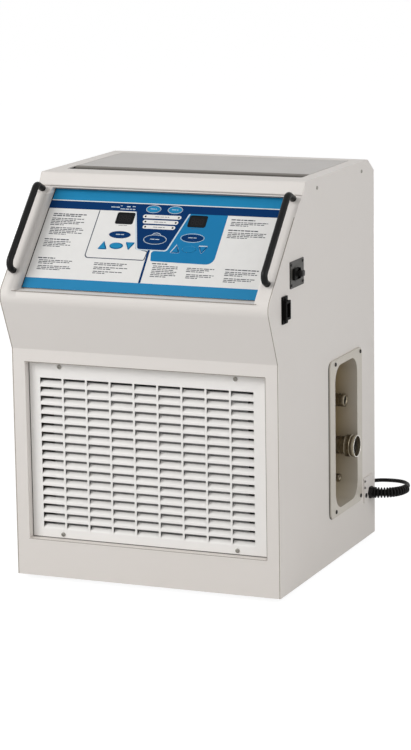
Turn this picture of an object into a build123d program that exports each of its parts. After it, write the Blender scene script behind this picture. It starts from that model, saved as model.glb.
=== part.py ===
from build123d import *
import os
from math import atan2, cos, degrees, hypot, pi, radians, sin, tan

# Patient heating and cooling unit: a floor-standing sheet-metal cabinet on four hidden casters, with a
# sloping console, a louvred air intake, a hose recess in its right side and a mains lead that leaves low at
# the back. Millimetres, +X to the viewer's right, the front faces -Y, +Z up, z = 0 on the floor.

# Driving dimensions of the cabinet. Depths run backwards from the foot of the lower front, heights up from
# the cabinet's bottom edge, and a drop is measured down from its top.
cabinet_width = 457.0
cabinet_height = 641.0
front_reach = 38.0
rear_reach = 450.0
skirt_gap = 8.0
sheet = 1.5
rear_lip = 5.0

# Side outline
crease_height = 373.0
nose_depth = -42.3
nose_drop = 173.9
nose_radius = 24.0
console_top_depth = 94.5
console_top_drop = 31.0
fascia_depth = 112.7
fascia_drop = 21.2
top_front_depth = 124.5
bevel_run = 35.0
bevel_drop = 24.0
bend_radius = 4.0
top_bend_radius = 6.0

# Console pocket, its overlay and its keys. Rows run up the slope from the console's zero line.
console_zero_drop = 137.0
console_margin = 21.0
pocket_bend_radius = 6.0
pocket_depth = 17.5
pocket_ledge_drop = 168.0
overlay_thickness = 2.5
overlay_gap = 0.4
overlay_side_gap = 0.5
overlay_high = 168.0
key_clearance = 0.3
key_thickness = 2.3
key_float = 0.9
triangle_corner = 1.2
zone_offset = 62.4
oval_key_size = (37.0, 13.5)
small_oval_size = (23.0, 12.0)
triangle_size = (15.4, 13.0)
triangle_offset = 22.5
main_key_row = 83.6
step_key_row = 62.0
pump_key_size = (36.0, 15.0)
pump_key_row = 77.5
mode_key_row = 135.5
mode_key_offset = 18.7
display_size = (28.0, 20.0)
display_row = 115.5
display_recess = 0.3

# Control board behind the pocket
board_size = (300.0, 110.0)
board_row = 96.0
board_sheet = 1.6
board_standoff = 16.0
standoff_radius = 4.0
standoff_inset = 8.0
block_size = (46.0, 34.0)
block_height = 14.0
block_places = ((-80.0, 0.0), (10.0, 10.0), (90.0, -8.0))

# Grab handles, along the slope and out from it
handle_margin = 12.5
handle_bar = 10.8
handle_standoff = 21.5
handle_foot_low = -5.0
handle_foot_high = 157.0
handle_lean_low = 6.0
handle_lean_high = 7.5
handle_bend = 11.0
handle_root = 12.0

# Air intake
intake_margin = 22.5
intake_low = 61.0
intake_drop = 21.5
intake_recess = 13.0
intake_flange = 14.0
grille_clearance = 0.5
grille_sheet = 1.2
louvre_pitch_x = 41.2
louvre_pitch_z = 14.8
louvre_width = 37.9
louvre_height = 11.0
louvre_shift_x = -2.3
louvre_shift_z = -5.25
louvre_border_x = 17.0
louvre_border_z = 15.0
louvre_tilt = 38.0
louvre_lap = 0.4
louvre_ease = 0.2
grille_screw_margin = 54.5
grille_screw_inset = 7.5
grille_screw_hole = 2.2
grille_screw_shank = 1.9
grille_screw_length = 7.0

# Screw heads
grille_head = (3.6, 2.0, 0.9)
tub_head = (3.4, 1.8, 0.8)
cover_head = (3.0, 1.6)
cover_screw_drop = 16.0
cover_screw_front = 175.0
cover_screw_rear = 66.0
rear_screw_inset = 12.5
rear_screw_end = 30.0
rear_screw_rows = 4

# Lid in the top, with a finger slot in front of it
well_margin = 23.5
well_front = 170.0
well_rear_gap = 58.0
well_depth = 42.0
well_corner = 4.0
well_wall_corner = 4.5
well_flange = 7.0
finger_slot = 30.0
lid_clearance = 1.5
lid_skirt = 14.0
lid_corner_gap = 1.0
lid_rear_gap = 2.5
hinge_inset = 14.0
hinge_drop = 4.2
hinge_pin_radius = 1.9
hinge_running = 0.05
hinge_washer = (4.0, 1.2)
hinge_pin_length = 5.5

# Filler necks and caps in the well
filler_offset = 98.0
filler_rear_gap = 145.0
neck_radius = 20.0
neck_clearance = 0.4
neck_rise = 6.0
cap_radius = 27.0
cap_height = 15.0
cap_edge = 2.0

# Rear panel's exhaust slots
vent_slot = (104.0, 6.0)
vent_columns = 3
vent_rows = 13
vent_pitch = (126.0, 17.0)
vent_centre_height = 215.0

# Hose recess in the right side
recess_low = 73.0
recess_high = 335.0
recess_rear_gap = 76.0
recess_length = 152.0
recess_margin_side = 23.0
recess_margin_end = 11.5
recess_flange_sheet = 3.0
recess_flange_radius = 12.0
recess_mouth_radius = 28.0
recess_depth = 60.0
recess_wall = 2.0
recess_play = 1.0
recess_screw_front = 25.0
recess_screw_rear = 8.0
recess_screw_low = 8.5
recess_screw_high = 7.5

# Water fittings, in one column in the recess
fitting_setback = 43.0
supply_height = 174.4
return_height = 250.7
drain_height = 118.3
supply_reach = 9.0
return_reach = -10.0
drain_reach = -21.0
coupling_radius = 15.0
coupling_bore = (8.0, 44.0)
coupling_nut = (17.5, 8.0)
sleeve_radius = 18.5
sleeve_length = 18.0
sleeve_running = 0.08
return_radius = 11.0
return_bore = (5.0, 28.0)
return_nut = (13.5, 7.0)
drain_radius = 7.0
drain_bore = (3.0, 18.0)
drain_nut = (10.0, 6.0)
shank_radius = 7.0
shank_length = 14.0

# Switch on the right side
breaker_depth = 81.0
breaker_drop = 137.0
breaker_size = (58.0, 42.0)
breaker_plate_sheet = 1.5
breaker_rim = (12.0, 14.0)
breaker_body_depth = 46.0
body_play = 0.5
plate_corner = 1.5
plate_rivet = (2.2, 1.2)
plate_rivet_inset = (4.5, 5.0)
toggle_slot = (14.0, 22.0)
toggle_radius = 6.0
toggle_thickness = 8.0
toggle_reach = 9.0
toggle_pivot_inset = 8.0
toggle_pin_radius = 1.5
toggle_floor_gap = 1.0

# Connector on the right side
connector_depth = 26.0
connector_drop = 186.0
connector_flange = (22.0, 43.0)
connector_flange_sheet = 2.5
connector_body = (19.0, 30.0)
connector_reach = 8.0
connector_back = 18.0
connector_rim = 2.0
socket_mouth = (13.0, 22.0)
socket_depth = 14.0
connector_screw = (2.4, 1.2)
connector_screw_inset = 3.5

# Mains lead
gland_rear_gap = 35.0
gland_height = 76.0
gland_radius = 9.5
gland_reach = 7.5
gland_hex = 11.0
gland_hex_height = 4.0
gland_hole_inset = 2.0
gland_shank_inset = 2.3
gland_shank_length = 15.5
bracket_size = (40.0, 44.0)
bracket_shift = (-8.0, 8.0)
bracket_sheet = 2.0
bracket_corner = 3.0
bracket_screws = [(-25.0, 24.0), (-25.5, 13.0), (-19.5, -1.6)]
bracket_screw = (2.0, 1.4)
relief_root = 9.0
relief_tip = 7.0
relief_bend = 42.0
relief_turn = 90.0
cord_diameter = 6.5
coil_centre = (-12.0, 320.0)
coil_inner = 24.5
coil_outer = 50.5
coil_height = 26.0
coil_edge = 2.95
plug_neck = 4.75
plug_shoulder = 11.0
plug_taper = 14.0
plug_radius = 13.0
plug_length = 42.0
blade_size = (7.9, 1.5, 17.0)
blade_places = ((2.5, -6.35), (2.5, 6.35))
ground_pin = (2.4, 20.0)
ground_pin_place = (-7.5, 0.0)

# Running gear and the deck that it carries
deck_height = 56.0
deck_sheet = 2.0
deck_flange = 22.0
caster_margin = 56.5
caster_front = 62.0
caster_rear_gap = 65.0
caster_plate = (58.0, 58.0, 2.5)
caster_plate_corner = 5.0
caster_trail = 16.0
boss_radius = 15.0
boss_height = 4.0
pin_radius = 4.0
pin_head_radius = 7.0
pin_head = 2.0
pin_running = 0.05
fork_top_sheet = 2.8
fork_top_depth = 34.0
fork_play = 0.3
fork_corner = 4.0
fork_gap = 1.0
fork_sheet = 2.5
fork_throat = 7.0
fork_front = 13.0
fork_rear = 17.0
fork_foot = 8.0
wheel_radius = 25.0
wheel_width = 18.0
wheel_edge = 3.0
axle_radius = 4.0
axle_end = 2.0
wheel_running = 0.05

# Refrigeration
condenser_size = (336.0, 42.0, 250.0)
condenser_front = 24.0
condenser_lift = 12.0
condenser_foot = (20.0, 150.0)
bend_reach = 12.0
bend_slot = (26.0, 10.0)
bend_rows = 9
bend_pitch = 27.0
fan_radius = 112.0
fan_clearance = 6.0
fan_hub_radius = 24.0
fan_gap = 9.0
fan_depth = 20.0
fan_blades = 6
blade_root_chord = 34.0
blade_tip_chord = 54.0
blade_thickness = 2.4
blade_root_pitch = 32.0
blade_tip_pitch = 16.0
fan_shaft_radius = 4.0
fan_shaft_inset = 2.0
shroud_depth = 34.0
spider_width = 14.0
spider_sheet = 4.0
motor_radius = 38.0
motor_length = 46.0
compressor_radius = 72.0
compressor_height = 190.0
compressor_dome = 30.0
compressor_rear_gap = 115.0
compressor_base = (176.0, 148.0, 4.0)
compressor_base_corner = 14.0
compressor_foot = (9.0, 7.0)
compressor_foot_inset = 15.0
compressor_lift = 10.0

# Water circuit
pump_radius = 30.0
pump_length = 95.0
pump_lift = 6.0
pump_rear_gap = 150.0
pump_nose = (21.0, 18.0)
pump_base = (44.0, 60.0, 12.0)
fitting_zone = 78.0
shelf_height = 372.0
shelf_front = 135.0
shelf_edge = 16.0
tank_width = 186.0
tank_depth = 228.0
tank_rear_gap = 148.0
tank_headroom = 55.5
tank_corner = 14.0

# Places that follow from those sizes
front_y = (front_reach - rear_reach) / 2
half_width = cabinet_width / 2
inner_half_width = half_width - sheet
cabinet_depth = rear_reach - rear_lip
top_rear_depth = rear_reach - bevel_run
nose_height = cabinet_height - nose_drop
console_top_height = cabinet_height - console_top_drop
fascia_height = cabinet_height - fascia_drop
bevel_height = cabinet_height - bevel_drop
bevel_slope = bevel_drop / bevel_run
console_tilt = degrees(atan2(console_top_height - nose_height, console_top_depth - nose_depth))
tilt_sin = sin(radians(console_tilt))
tilt_cos = cos(radians(console_tilt))
console_zero_height = cabinet_height - console_zero_drop
console_zero_depth = console_top_depth - (console_top_height - console_zero_height) * tilt_cos / tilt_sin
pocket_half_width = half_width - console_margin
pocket_ledge_height = cabinet_height - pocket_ledge_drop
overlay_half_width = pocket_half_width - pocket_bend_radius - overlay_side_gap
ledge_row = (pocket_ledge_height - console_zero_height + pocket_depth * tilt_cos) / tilt_sin
overlay_low = ledge_row + overlay_gap
overlay_top = pocket_depth - overlay_thickness
display_offsets = (-zone_offset, zone_offset)
handle_offset = half_width - handle_margin
intake_half_width = half_width - intake_margin
intake_high = crease_height - intake_drop
louvre_centre_x = louvre_shift_x
louvre_centre_z = (intake_low + intake_high) / 2 + louvre_shift_z
louvre_columns = int((2 * intake_half_width - 2 * louvre_border_x) / louvre_pitch_x)
louvre_rows = int((intake_high - intake_low - 2 * louvre_border_z) / louvre_pitch_z)
grille_screws_x = (grille_screw_margin - intake_half_width, intake_half_width - grille_screw_margin)
grille_screws_z = (intake_low + grille_screw_inset, intake_high - grille_screw_inset)
grille_screw_places = [(x, z) for x in grille_screws_x for z in grille_screws_z]
well_half_width = half_width - well_margin
well_rear = rear_reach - well_rear_gap
well_floor = cabinet_height - sheet - well_depth
recess_rear = rear_reach - recess_rear_gap
recess_front = recess_rear - recess_length
fitting_depth = recess_rear - fitting_setback
breaker_centre = (breaker_depth, cabinet_height - breaker_drop)
connector_centre = (connector_depth, cabinet_height - connector_drop)
gland_depth = rear_reach - gland_rear_gap
caster_x = half_width - caster_margin
caster_rear = rear_reach - caster_rear_gap
deck_top = deck_height + deck_sheet
cord_radius = cord_diameter / 2

side_view = Plane(origin=(0, front_y, skirt_gap), x_dir=(0, 1, 0), z_dir=(1, 0, 0))
front_view = Plane(origin=(0, front_y, skirt_gap), x_dir=(1, 0, 0), z_dir=(0, -1, 0))
top_view = Plane(origin=(0, front_y, skirt_gap), x_dir=(1, 0, 0), z_dir=(0, 0, 1))
console_view = Plane(
    origin=(0, front_y + console_zero_depth, skirt_gap + console_zero_height),
    x_dir=(1, 0, 0),
    z_dir=(0, -tilt_sin, tilt_cos),
)
console_section = Plane(origin=console_view.origin, x_dir=(1, 0, 0), z_dir=-console_view.y_dir)

os.makedirs("parts", exist_ok=True)


def save(part, name):
    """Label one finished piece and write it."""
    part.label = name
    export_step(part, f"parts/{name}.step")


def side_outline(inset):
    """The cabinet seen from its right side, moved inwards by inset."""
    points = [
        (0, 0),
        (0, crease_height),
        (nose_depth, nose_height),
        (console_top_depth, console_top_height),
        (fascia_depth, fascia_height),
        (top_front_depth, cabinet_height),
        (top_rear_depth, cabinet_height),
        (cabinet_depth, bevel_height + rear_lip * bevel_slope),
        (cabinet_depth, 0),
    ]
    bends = [(1, bend_radius), (2, nose_radius), (3, bend_radius), (5, top_bend_radius), (6, top_bend_radius)]
    with BuildSketch() as outline:
        with BuildLine():
            Polyline(*points, close=True)
        make_face()
        for index, radius in bends:
            fillet(outline.vertices().sort_by_distance(points[index])[0], radius)
        if inset:
            offset(amount=-inset)
    return outline.sketch


def cabinet_block(inset, width):
    """The cabinet's outline as a solid, centred on the mid-plane."""
    with BuildPart() as block:
        with BuildSketch(side_view):
            add(side_outline(inset))
        extrude(amount=width / 2, both=True)
    return block.part


def pocket_block(grow):
    """The hollow of the console pocket, grown by the sheet where it cuts the inner side."""
    floor_half = pocket_half_width - pocket_bend_radius
    reach = 30
    slope_low = -60.0
    slope_high = 260.0
    bend_middle = pocket_bend_radius * (1 - cos(pi / 4))
    with BuildPart() as pocket:
        with BuildSketch(console_section.offset(-slope_high)):
            with BuildLine():
                Polyline((-pocket_half_width, reach), (-pocket_half_width, 0))
                ThreePointArc(
                    (-pocket_half_width, 0),
                    (-floor_half - bend_middle, -bend_middle),
                    (-floor_half, -pocket_bend_radius),
                )
                Polyline(
                    (-floor_half, -pocket_bend_radius),
                    (-floor_half, -pocket_depth),
                    (floor_half, -pocket_depth),
                    (floor_half, -pocket_bend_radius),
                )
                ThreePointArc(
                    (floor_half, -pocket_bend_radius),
                    (floor_half + bend_middle, -bend_middle),
                    (pocket_half_width, 0),
                )
                Polyline((pocket_half_width, 0), (pocket_half_width, reach), (-pocket_half_width, reach))
            make_face()
            if grow:
                offset(amount=grow)
        extrude(amount=slope_high - slope_low)
        split(bisect_by=Plane.XY.offset(skirt_gap + pocket_ledge_height - grow), keep=Keep.TOP)
        split(bisect_by=Plane.XY.offset(skirt_gap + fascia_height - sheet + grow), keep=Keep.BOTTOM)
    return pocket.part


# Side panels: flat sheets with the cabinet's side outline. The right one is cut for the hose recess,
# the switch, the connector and the lead.
recess_centre = ((recess_front + recess_rear) / 2, (recess_low + recess_high) / 2)
recess_mouth = (
    recess_rear - recess_front - 2 * recess_margin_side,
    recess_high - recess_low - 2 * recess_margin_end,
)
recess_grow = recess_wall + recess_play
breaker_body = (breaker_size[0] - breaker_rim[0], breaker_size[1] - breaker_rim[1])
connector_hole = (connector_body[0] - connector_rim, connector_body[1] - connector_rim)

with BuildPart() as side_panel_left:
    with BuildSketch(side_view.offset(-half_width)):
        add(side_outline(0))
    extrude(amount=sheet)
save(side_panel_left.part, "side_panel_left")

with BuildPart() as side_panel_right:
    with BuildSketch(side_view.offset(inner_half_width)):
        add(side_outline(0))
        with Locations(recess_centre):
            RectangleRounded(
                recess_mouth[0] + 2 * recess_grow,
                recess_mouth[1] + 2 * recess_grow,
                recess_mouth_radius + recess_grow,
                mode=Mode.SUBTRACT,
            )
        with Locations(breaker_centre):
            Rectangle(*breaker_body, mode=Mode.SUBTRACT)
        with Locations(connector_centre):
            Rectangle(*connector_hole, mode=Mode.SUBTRACT)
        with Locations((gland_depth, gland_height)):
            Circle(gland_radius - gland_hole_inset, mode=Mode.SUBTRACT)
    extrude(amount=sheet)
save(side_panel_right.part, "side_panel_right")

def front_core():
    """The space behind the front sheet, which is what is left of the cabinet inside its walls."""
    with BuildPart() as core:
        add(cabinet_block(sheet, 2 * half_width))
        add(pocket_block(sheet), mode=Mode.SUBTRACT)
    return core.part


# Front panel: one formed sheet with the intake opening, the flare, the nose, the two console strips and the
# pocket between them.
panel_return = 12.0
with BuildPart() as front_panel:
    add(cabinet_block(0, 2 * inner_half_width))
    add(pocket_block(0), mode=Mode.SUBTRACT)
    add(front_core(), mode=Mode.SUBTRACT)
    with BuildSketch(side_view):
        Polygon(
            (nose_depth - 20, -5),
            (panel_return, -5),
            (panel_return, nose_height - 30),
            (fascia_depth + 30, console_top_height - 40),
            (fascia_depth + 30, fascia_height),
            (nose_depth - 20, fascia_height),
            align=None,
        )
    extrude(amount=half_width, both=True, mode=Mode.INTERSECT)
    with BuildSketch(front_view):
        with Locations((0, (intake_low + intake_high) / 2)):
            Rectangle(2 * intake_half_width, intake_high - intake_low)
    extrude(amount=-40, mode=Mode.SUBTRACT)
    with BuildSketch(front_view.offset(-sheet)) as intake_reveal:
        with Locations((0, (intake_low + intake_high) / 2)):
            Rectangle(2 * (intake_half_width + sheet), intake_high - intake_low + 2 * sheet)
            Rectangle(2 * intake_half_width, intake_high - intake_low, mode=Mode.SUBTRACT)
    extrude(amount=-(intake_recess + grille_sheet))
    with BuildSketch(front_view.offset(-(intake_recess + grille_sheet))) as intake_seat:
        with Locations((0, (intake_low + intake_high) / 2)):
            Rectangle(2 * (intake_half_width + sheet), intake_high - intake_low + 2 * sheet)
            Rectangle(
                2 * (intake_half_width - intake_flange),
                intake_high - intake_low - 2 * intake_flange,
                mode=Mode.SUBTRACT,
            )
        with Locations(*grille_screw_places):
            Circle(grille_screw_hole, mode=Mode.SUBTRACT)
    extrude(amount=-sheet)
    with BuildSketch(console_view.offset(-pocket_depth)):
        with Locations(*[(x, display_row) for x in display_offsets]):
            Rectangle(display_size[0] + 2 * key_clearance, display_size[1] + 2 * key_clearance)
    extrude(amount=-2 * sheet, mode=Mode.SUBTRACT)
save(front_panel.part, "front_panel")

# Top cover: one formed sheet with the fascia above the console, the flat top, the rear bevel and its lip, and
# the opening for the lid.
with BuildPart() as top_cover:
    with BuildSketch(side_view):
        with BuildLine():
            FilletPolyline(
                (fascia_depth + 10, fascia_height + sheet),
                (fascia_depth + sheet, fascia_height + sheet),
                (top_front_depth + sheet, cabinet_height - sheet),
                (top_rear_depth - sheet / 2, cabinet_height - sheet),
                (rear_reach - sheet / 2, bevel_height + sheet / 2),
                radius=(0.8, top_bend_radius - sheet, top_bend_radius - sheet),
            )
            offset(amount=sheet, side=Side.LEFT)
        make_face()
    extrude(amount=inner_half_width, both=True)
    with BuildSketch(top_view.offset(cabinet_height)):
        with Locations((0, (well_front + well_rear) / 2)):
            RectangleRounded(2 * well_half_width, well_rear - well_front, well_corner)
    extrude(amount=-3 * sheet, mode=Mode.SUBTRACT)
save(top_cover.part, "top_cover")

# Lid: a flat sheet with three strips spot-welded under its edges as a skirt. It turns on two pins in the side
# strips, just ahead of its rear edge, so that edge dips into the well and nothing stands above the top.
lid_front = well_front + finger_slot
lid_rear = well_rear - lid_rear_gap
lid_half_width = well_half_width - lid_clearance
hinge_place = (lid_rear - hinge_inset, cabinet_height - hinge_drop)

with BuildPart() as lid_sheet:
    with BuildSketch(top_view.offset(cabinet_height)):
        with Locations((0, (lid_front + lid_rear) / 2)):
            Rectangle(2 * lid_half_width, lid_rear - lid_front)
    extrude(amount=-sheet)

side_strip = lid_rear - lid_front - sheet - lid_corner_gap
with BuildPart() as lid_strips:
    with BuildSketch(top_view.offset(cabinet_height - sheet)):
        with Locations((0, lid_front + sheet / 2)):
            Rectangle(2 * lid_half_width, sheet)
        with Locations((0, lid_rear - side_strip / 2)):
            with GridLocations(2 * lid_half_width - sheet, 0, 2, 1):
                Rectangle(sheet, side_strip)
    extrude(amount=sheet - lid_skirt)
    with BuildSketch(side_view):
        with Locations(hinge_place):
            Circle(hinge_pin_radius + hinge_running)
    extrude(amount=lid_half_width, both=True, mode=Mode.SUBTRACT)
save(Compound(children=[lid_sheet.part, lid_strips.part]), "lid")

with BuildPart() as lid_hinges:
    for side in (-1, 1):
        with BuildSketch(side_view.offset(side * well_half_width)):
            with Locations(hinge_place):
                Circle(hinge_washer[0])
        extrude(amount=-side * hinge_washer[1])
        with BuildSketch(side_view.offset(side * well_half_width)):
            with Locations(hinge_place):
                Circle(hinge_pin_radius)
        extrude(amount=-side * hinge_pin_length)
save(lid_hinges.part, "lid_hinges")

# Fill well: a drawn tray under the lid with a flange against the underside of the top, and the two caps of
# the tanks' filler necks in its floor.
filler_row = rear_reach - filler_rear_gap
filler_places = [(x, filler_row) for x in (-filler_offset, filler_offset)]

with BuildPart() as fill_well:
    with BuildSketch(top_view.offset(cabinet_height - sheet)):
        with Locations((0, (well_front + well_rear) / 2)):
            Rectangle(2 * (well_half_width + well_flange), well_rear - well_front + 2 * well_flange)
    extrude(amount=-sheet)
    with BuildSketch(top_view.offset(cabinet_height - sheet)):
        with Locations((0, (well_front + well_rear) / 2)):
            RectangleRounded(
                2 * (well_half_width + sheet), well_rear - well_front + 2 * sheet, well_wall_corner + sheet
            )
    extrude(amount=-well_depth)
    with BuildSketch(top_view.offset(cabinet_height - sheet)):
        with Locations((0, (well_front + well_rear) / 2)):
            RectangleRounded(2 * well_half_width, well_rear - well_front, well_wall_corner)
    extrude(amount=-well_depth + sheet, mode=Mode.SUBTRACT)
    with BuildSketch(top_view.offset(well_floor)):
        with Locations(*filler_places):
            Circle(neck_radius + neck_clearance)
    extrude(amount=sheet, mode=Mode.SUBTRACT)
save(fill_well.part, "fill_well")

with BuildPart() as filler_caps:
    with BuildSketch(top_view.offset(well_floor + sheet)):
        with Locations(*filler_places):
            Circle(cap_radius)
    extrude(amount=cap_height)
    with BuildSketch(top_view.offset(well_floor + sheet)):
        with Locations(*filler_places):
            Circle(neck_radius + neck_clearance)
    extrude(amount=neck_rise, mode=Mode.SUBTRACT)
    fillet(filler_caps.faces().group_by(Axis.Z)[-1].edges(), cap_edge)
save(filler_caps.part, "filler_caps")

# Rear panel: a flat sheet with rows of exhaust slots.
rear_top = bevel_height + rear_lip * bevel_slope - sheet * hypot(1, bevel_slope) - grille_clearance
rear_view = Plane(origin=(0, front_y + cabinet_depth, skirt_gap), x_dir=(-1, 0, 0), z_dir=(0, 1, 0))

with BuildPart() as rear_panel:
    with BuildSketch(rear_view):
        with Locations((0, rear_top / 2)):
            Rectangle(2 * inner_half_width, rear_top)
        with Locations((0, vent_centre_height)):
            with GridLocations(*vent_pitch, vent_columns, vent_rows):
                SlotOverall(*vent_slot, mode=Mode.SUBTRACT)
    extrude(amount=-sheet)
save(rear_panel.part, "rear_panel")

# Base pan: the deck that everything stands on, with its edges turned down.
with BuildPart() as base_pan:
    with BuildSketch(top_view.offset(deck_height + deck_sheet)):
        with Locations((0, cabinet_depth / 2)):
            Rectangle(2 * inner_half_width, cabinet_depth - 2 * sheet)
    extrude(amount=-deck_flange)
    with BuildSketch(top_view.offset(deck_height)):
        with Locations((0, cabinet_depth / 2)):
            Rectangle(2 * (inner_half_width - deck_sheet), cabinet_depth - 2 * sheet - 2 * deck_sheet)
    extrude(amount=-deck_flange, mode=Mode.SUBTRACT)
save(base_pan.part, "base_pan")

# Intake grille: one sheet with rows of louvres, each a tab that is cut on three sides and bent inwards from
# the bottom edge of its window.
louvre_rise = louvre_height * cos(radians(louvre_tilt))
louvre_run = louvre_height * sin(radians(louvre_tilt))
grille_back = intake_recess + grille_sheet

with BuildPart() as intake_grille:
    with BuildSketch(front_view.offset(-intake_recess)):
        with Locations((0, (intake_low + intake_high) / 2)):
            Rectangle(
                2 * (intake_half_width - grille_clearance),
                intake_high - intake_low - 2 * grille_clearance,
            )
        with Locations((louvre_centre_x, louvre_centre_z)):
            with GridLocations(louvre_pitch_x, louvre_pitch_z, louvre_columns, louvre_rows):
                Rectangle(louvre_width, louvre_height, mode=Mode.SUBTRACT)
        with Locations(*grille_screw_places):
            Circle(grille_screw_hole, mode=Mode.SUBTRACT)
    extrude(amount=-grille_sheet)
    louvre_low = louvre_centre_z - (louvre_rows - 1) / 2 * louvre_pitch_z - louvre_height / 2
    louvre_start = louvre_centre_x - (louvre_columns - 1) / 2 * louvre_pitch_x - louvre_width / 2
    with BuildSketch(side_view.offset(louvre_start)) as louvre_section:
        for row in range(louvre_rows):
            foot = louvre_low + row * louvre_pitch_z
            Polygon(
                (intake_recess, foot - louvre_lap),
                (grille_back, foot - louvre_lap),
                (grille_back + louvre_run, foot + louvre_rise),
                (grille_back + louvre_run - grille_sheet, foot + louvre_rise),
                (intake_recess, foot + louvre_ease),
                align=None,
            )
    for column in range(louvre_columns):
        with Locations((column * louvre_pitch_x, 0, 0)):
            extrude(louvre_section.sketch, amount=louvre_width, dir=(1, 0, 0))
save(intake_grille.part, "intake_grille")

# Control overlay: a plate on the pocket's floor with windows for the two displays and openings for the keys.


def key_outline(kind, size, grow):
    """One key seen square on: an oval, or a rounded triangle that points up or down the slope."""
    with BuildSketch() as outline:
        if kind == "oval":
            Ellipse(size[0] / 2 + grow, size[1] / 2 + grow)
        else:
            tip = size[1] / 2 if kind == "up" else -size[1] / 2
            Polygon((-size[0] / 2, -tip), (size[0] / 2, -tip), (0, tip), align=None)
            fillet(outline.vertices(), triangle_corner)
            if grow:
                offset(amount=grow)
    return outline.sketch


keys = {
    "heat_key": ("oval", oval_key_size, -zone_offset, main_key_row),
    "heat_up_key": ("up", triangle_size, -zone_offset - triangle_offset, step_key_row),
    "heat_set_key": ("oval", small_oval_size, -zone_offset, step_key_row),
    "heat_down_key": ("down", triangle_size, -zone_offset + triangle_offset, step_key_row),
    "cool_key": ("oval", oval_key_size, zone_offset, main_key_row),
    "cool_up_key": ("up", triangle_size, zone_offset - triangle_offset, step_key_row),
    "cool_set_key": ("oval", small_oval_size, zone_offset, step_key_row),
    "cool_down_key": ("down", triangle_size, zone_offset + triangle_offset, step_key_row),
    "left_mode_key": ("oval", small_oval_size, -mode_key_offset, mode_key_row),
    "right_mode_key": ("oval", small_oval_size, mode_key_offset, mode_key_row),
    "pump_key": ("oval", pump_key_size, 0, pump_key_row),
}

with BuildPart() as control_overlay:
    with BuildSketch(console_view.offset(-pocket_depth)):
        with Locations((0, (overlay_low + overlay_high) / 2)):
            Rectangle(2 * overlay_half_width, overlay_high - overlay_low)
        for kind, size, across, row in keys.values():
            with Locations((across, row)):
                add(key_outline(kind, size, key_clearance), mode=Mode.SUBTRACT)
        with Locations(*[(x, display_row) for x in display_offsets]):
            Rectangle(
                display_size[0] + 2 * key_clearance,
                display_size[1] + 2 * key_clearance,
                mode=Mode.SUBTRACT,
            )
    extrude(amount=overlay_thickness)
save(control_overlay.part, "control_overlay")

for key_name, (kind, size, across, row) in keys.items():
    with BuildPart() as key:
        with BuildSketch(console_view.offset(-pocket_depth + key_float)):
            with Locations((across, row)):
                add(key_outline(kind, size, 0))
        extrude(amount=key_thickness)
    save(key.part, key_name)

# Control board behind the pocket, on four standoffs, with the two display modules that reach through it.
board_top = pocket_depth + sheet + board_standoff

with BuildPart() as control_board:
    with BuildSketch(console_view.offset(-board_top)):
        with Locations((0, board_row)):
            Rectangle(*board_size)
    extrude(amount=-board_sheet)
    with BuildSketch(console_view.offset(-board_top)):
        with Locations((0, board_row)):
            with GridLocations(board_size[0] - 2 * standoff_inset, board_size[1] - 2 * standoff_inset, 2, 2):
                Circle(standoff_radius)
    extrude(amount=board_standoff)
    with BuildSketch(console_view.offset(-board_top - board_sheet)):
        with Locations(*[(x, board_row + row) for x, row in block_places]):
            Rectangle(*block_size)
    extrude(amount=-block_height)
save(control_board.part, "control_board")

with BuildPart() as display_modules:
    with BuildSketch(console_view.offset(-board_top)):
        with Locations(*[(x, display_row) for x in display_offsets]):
            Rectangle(*display_size)
    extrude(amount=board_top - overlay_top - display_recess)
save(display_modules.part, "display_modules")

# Grab handles: a steel rod on each console strip, bent back into the strip at both ends.
def handle(side):
    """One handle on the strip at side, trimmed where its ends meet the sheet."""
    rod_view = Plane(
        origin=console_view.origin + Vector(side, 0, 0), x_dir=console_view.y_dir, z_dir=(1, 0, 0)
    )
    low_lean = handle_lean_low / handle_standoff
    high_lean = handle_lean_high / handle_standoff
    with BuildPart() as rod:
        with BuildLine(rod_view) as path:
            FilletPolyline(
                (handle_foot_high + high_lean * handle_root, -handle_root),
                (handle_foot_high - handle_lean_high, handle_standoff),
                (handle_foot_low - handle_lean_low, handle_standoff),
                (handle_foot_low + low_lean * handle_root, -handle_root),
                radius=handle_bend,
            )
        with BuildSketch(Plane(origin=path.line @ 0, z_dir=path.line % 0)):
            Circle(handle_bar / 2)
        sweep()
        add(cabinet_block(0, cabinet_width), mode=Mode.SUBTRACT)
    return rod.part


save(handle(-handle_offset), "handle_left")
save(handle(handle_offset), "handle_right")

# Switch: a plate on the side panel, its body behind, and a toggle that tips up and down.
toggle_room = toggle_pivot_inset + toggle_radius + toggle_floor_gap
toggle_centre = (half_width - toggle_pivot_inset, breaker_centre[1])
with BuildPart() as breaker_plate:
    with BuildSketch(side_view.offset(half_width)):
        with Locations(breaker_centre):
            RectangleRounded(*breaker_size, plate_corner)
    extrude(amount=breaker_plate_sheet)
    with BuildSketch(side_view.offset(half_width)):
        with Locations(breaker_centre):
            Rectangle(breaker_body[0] - 2 * body_play, breaker_body[1] - 2 * body_play)
    extrude(amount=-breaker_body_depth)
    with BuildSketch(side_view.offset(half_width + breaker_plate_sheet)):
        with Locations(breaker_centre):
            Rectangle(*toggle_slot)
    extrude(amount=-breaker_plate_sheet - toggle_room, mode=Mode.SUBTRACT)
    with BuildSketch(side_view.offset(half_width + breaker_plate_sheet)):
        with Locations(breaker_centre):
            with GridLocations(
                breaker_size[0] - 2 * plate_rivet_inset[0], breaker_size[1] - 2 * plate_rivet_inset[1], 2, 2
            ):
                Circle(plate_rivet[0])
    extrude(amount=plate_rivet[1])
    with BuildSketch(front_view.offset(-breaker_centre[0] + toggle_slot[0] / 2)):
        with Locations(toggle_centre):
            Circle(toggle_pin_radius)
    extrude(amount=-toggle_slot[0])
save(breaker_plate.part, "breaker_plate")

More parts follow.
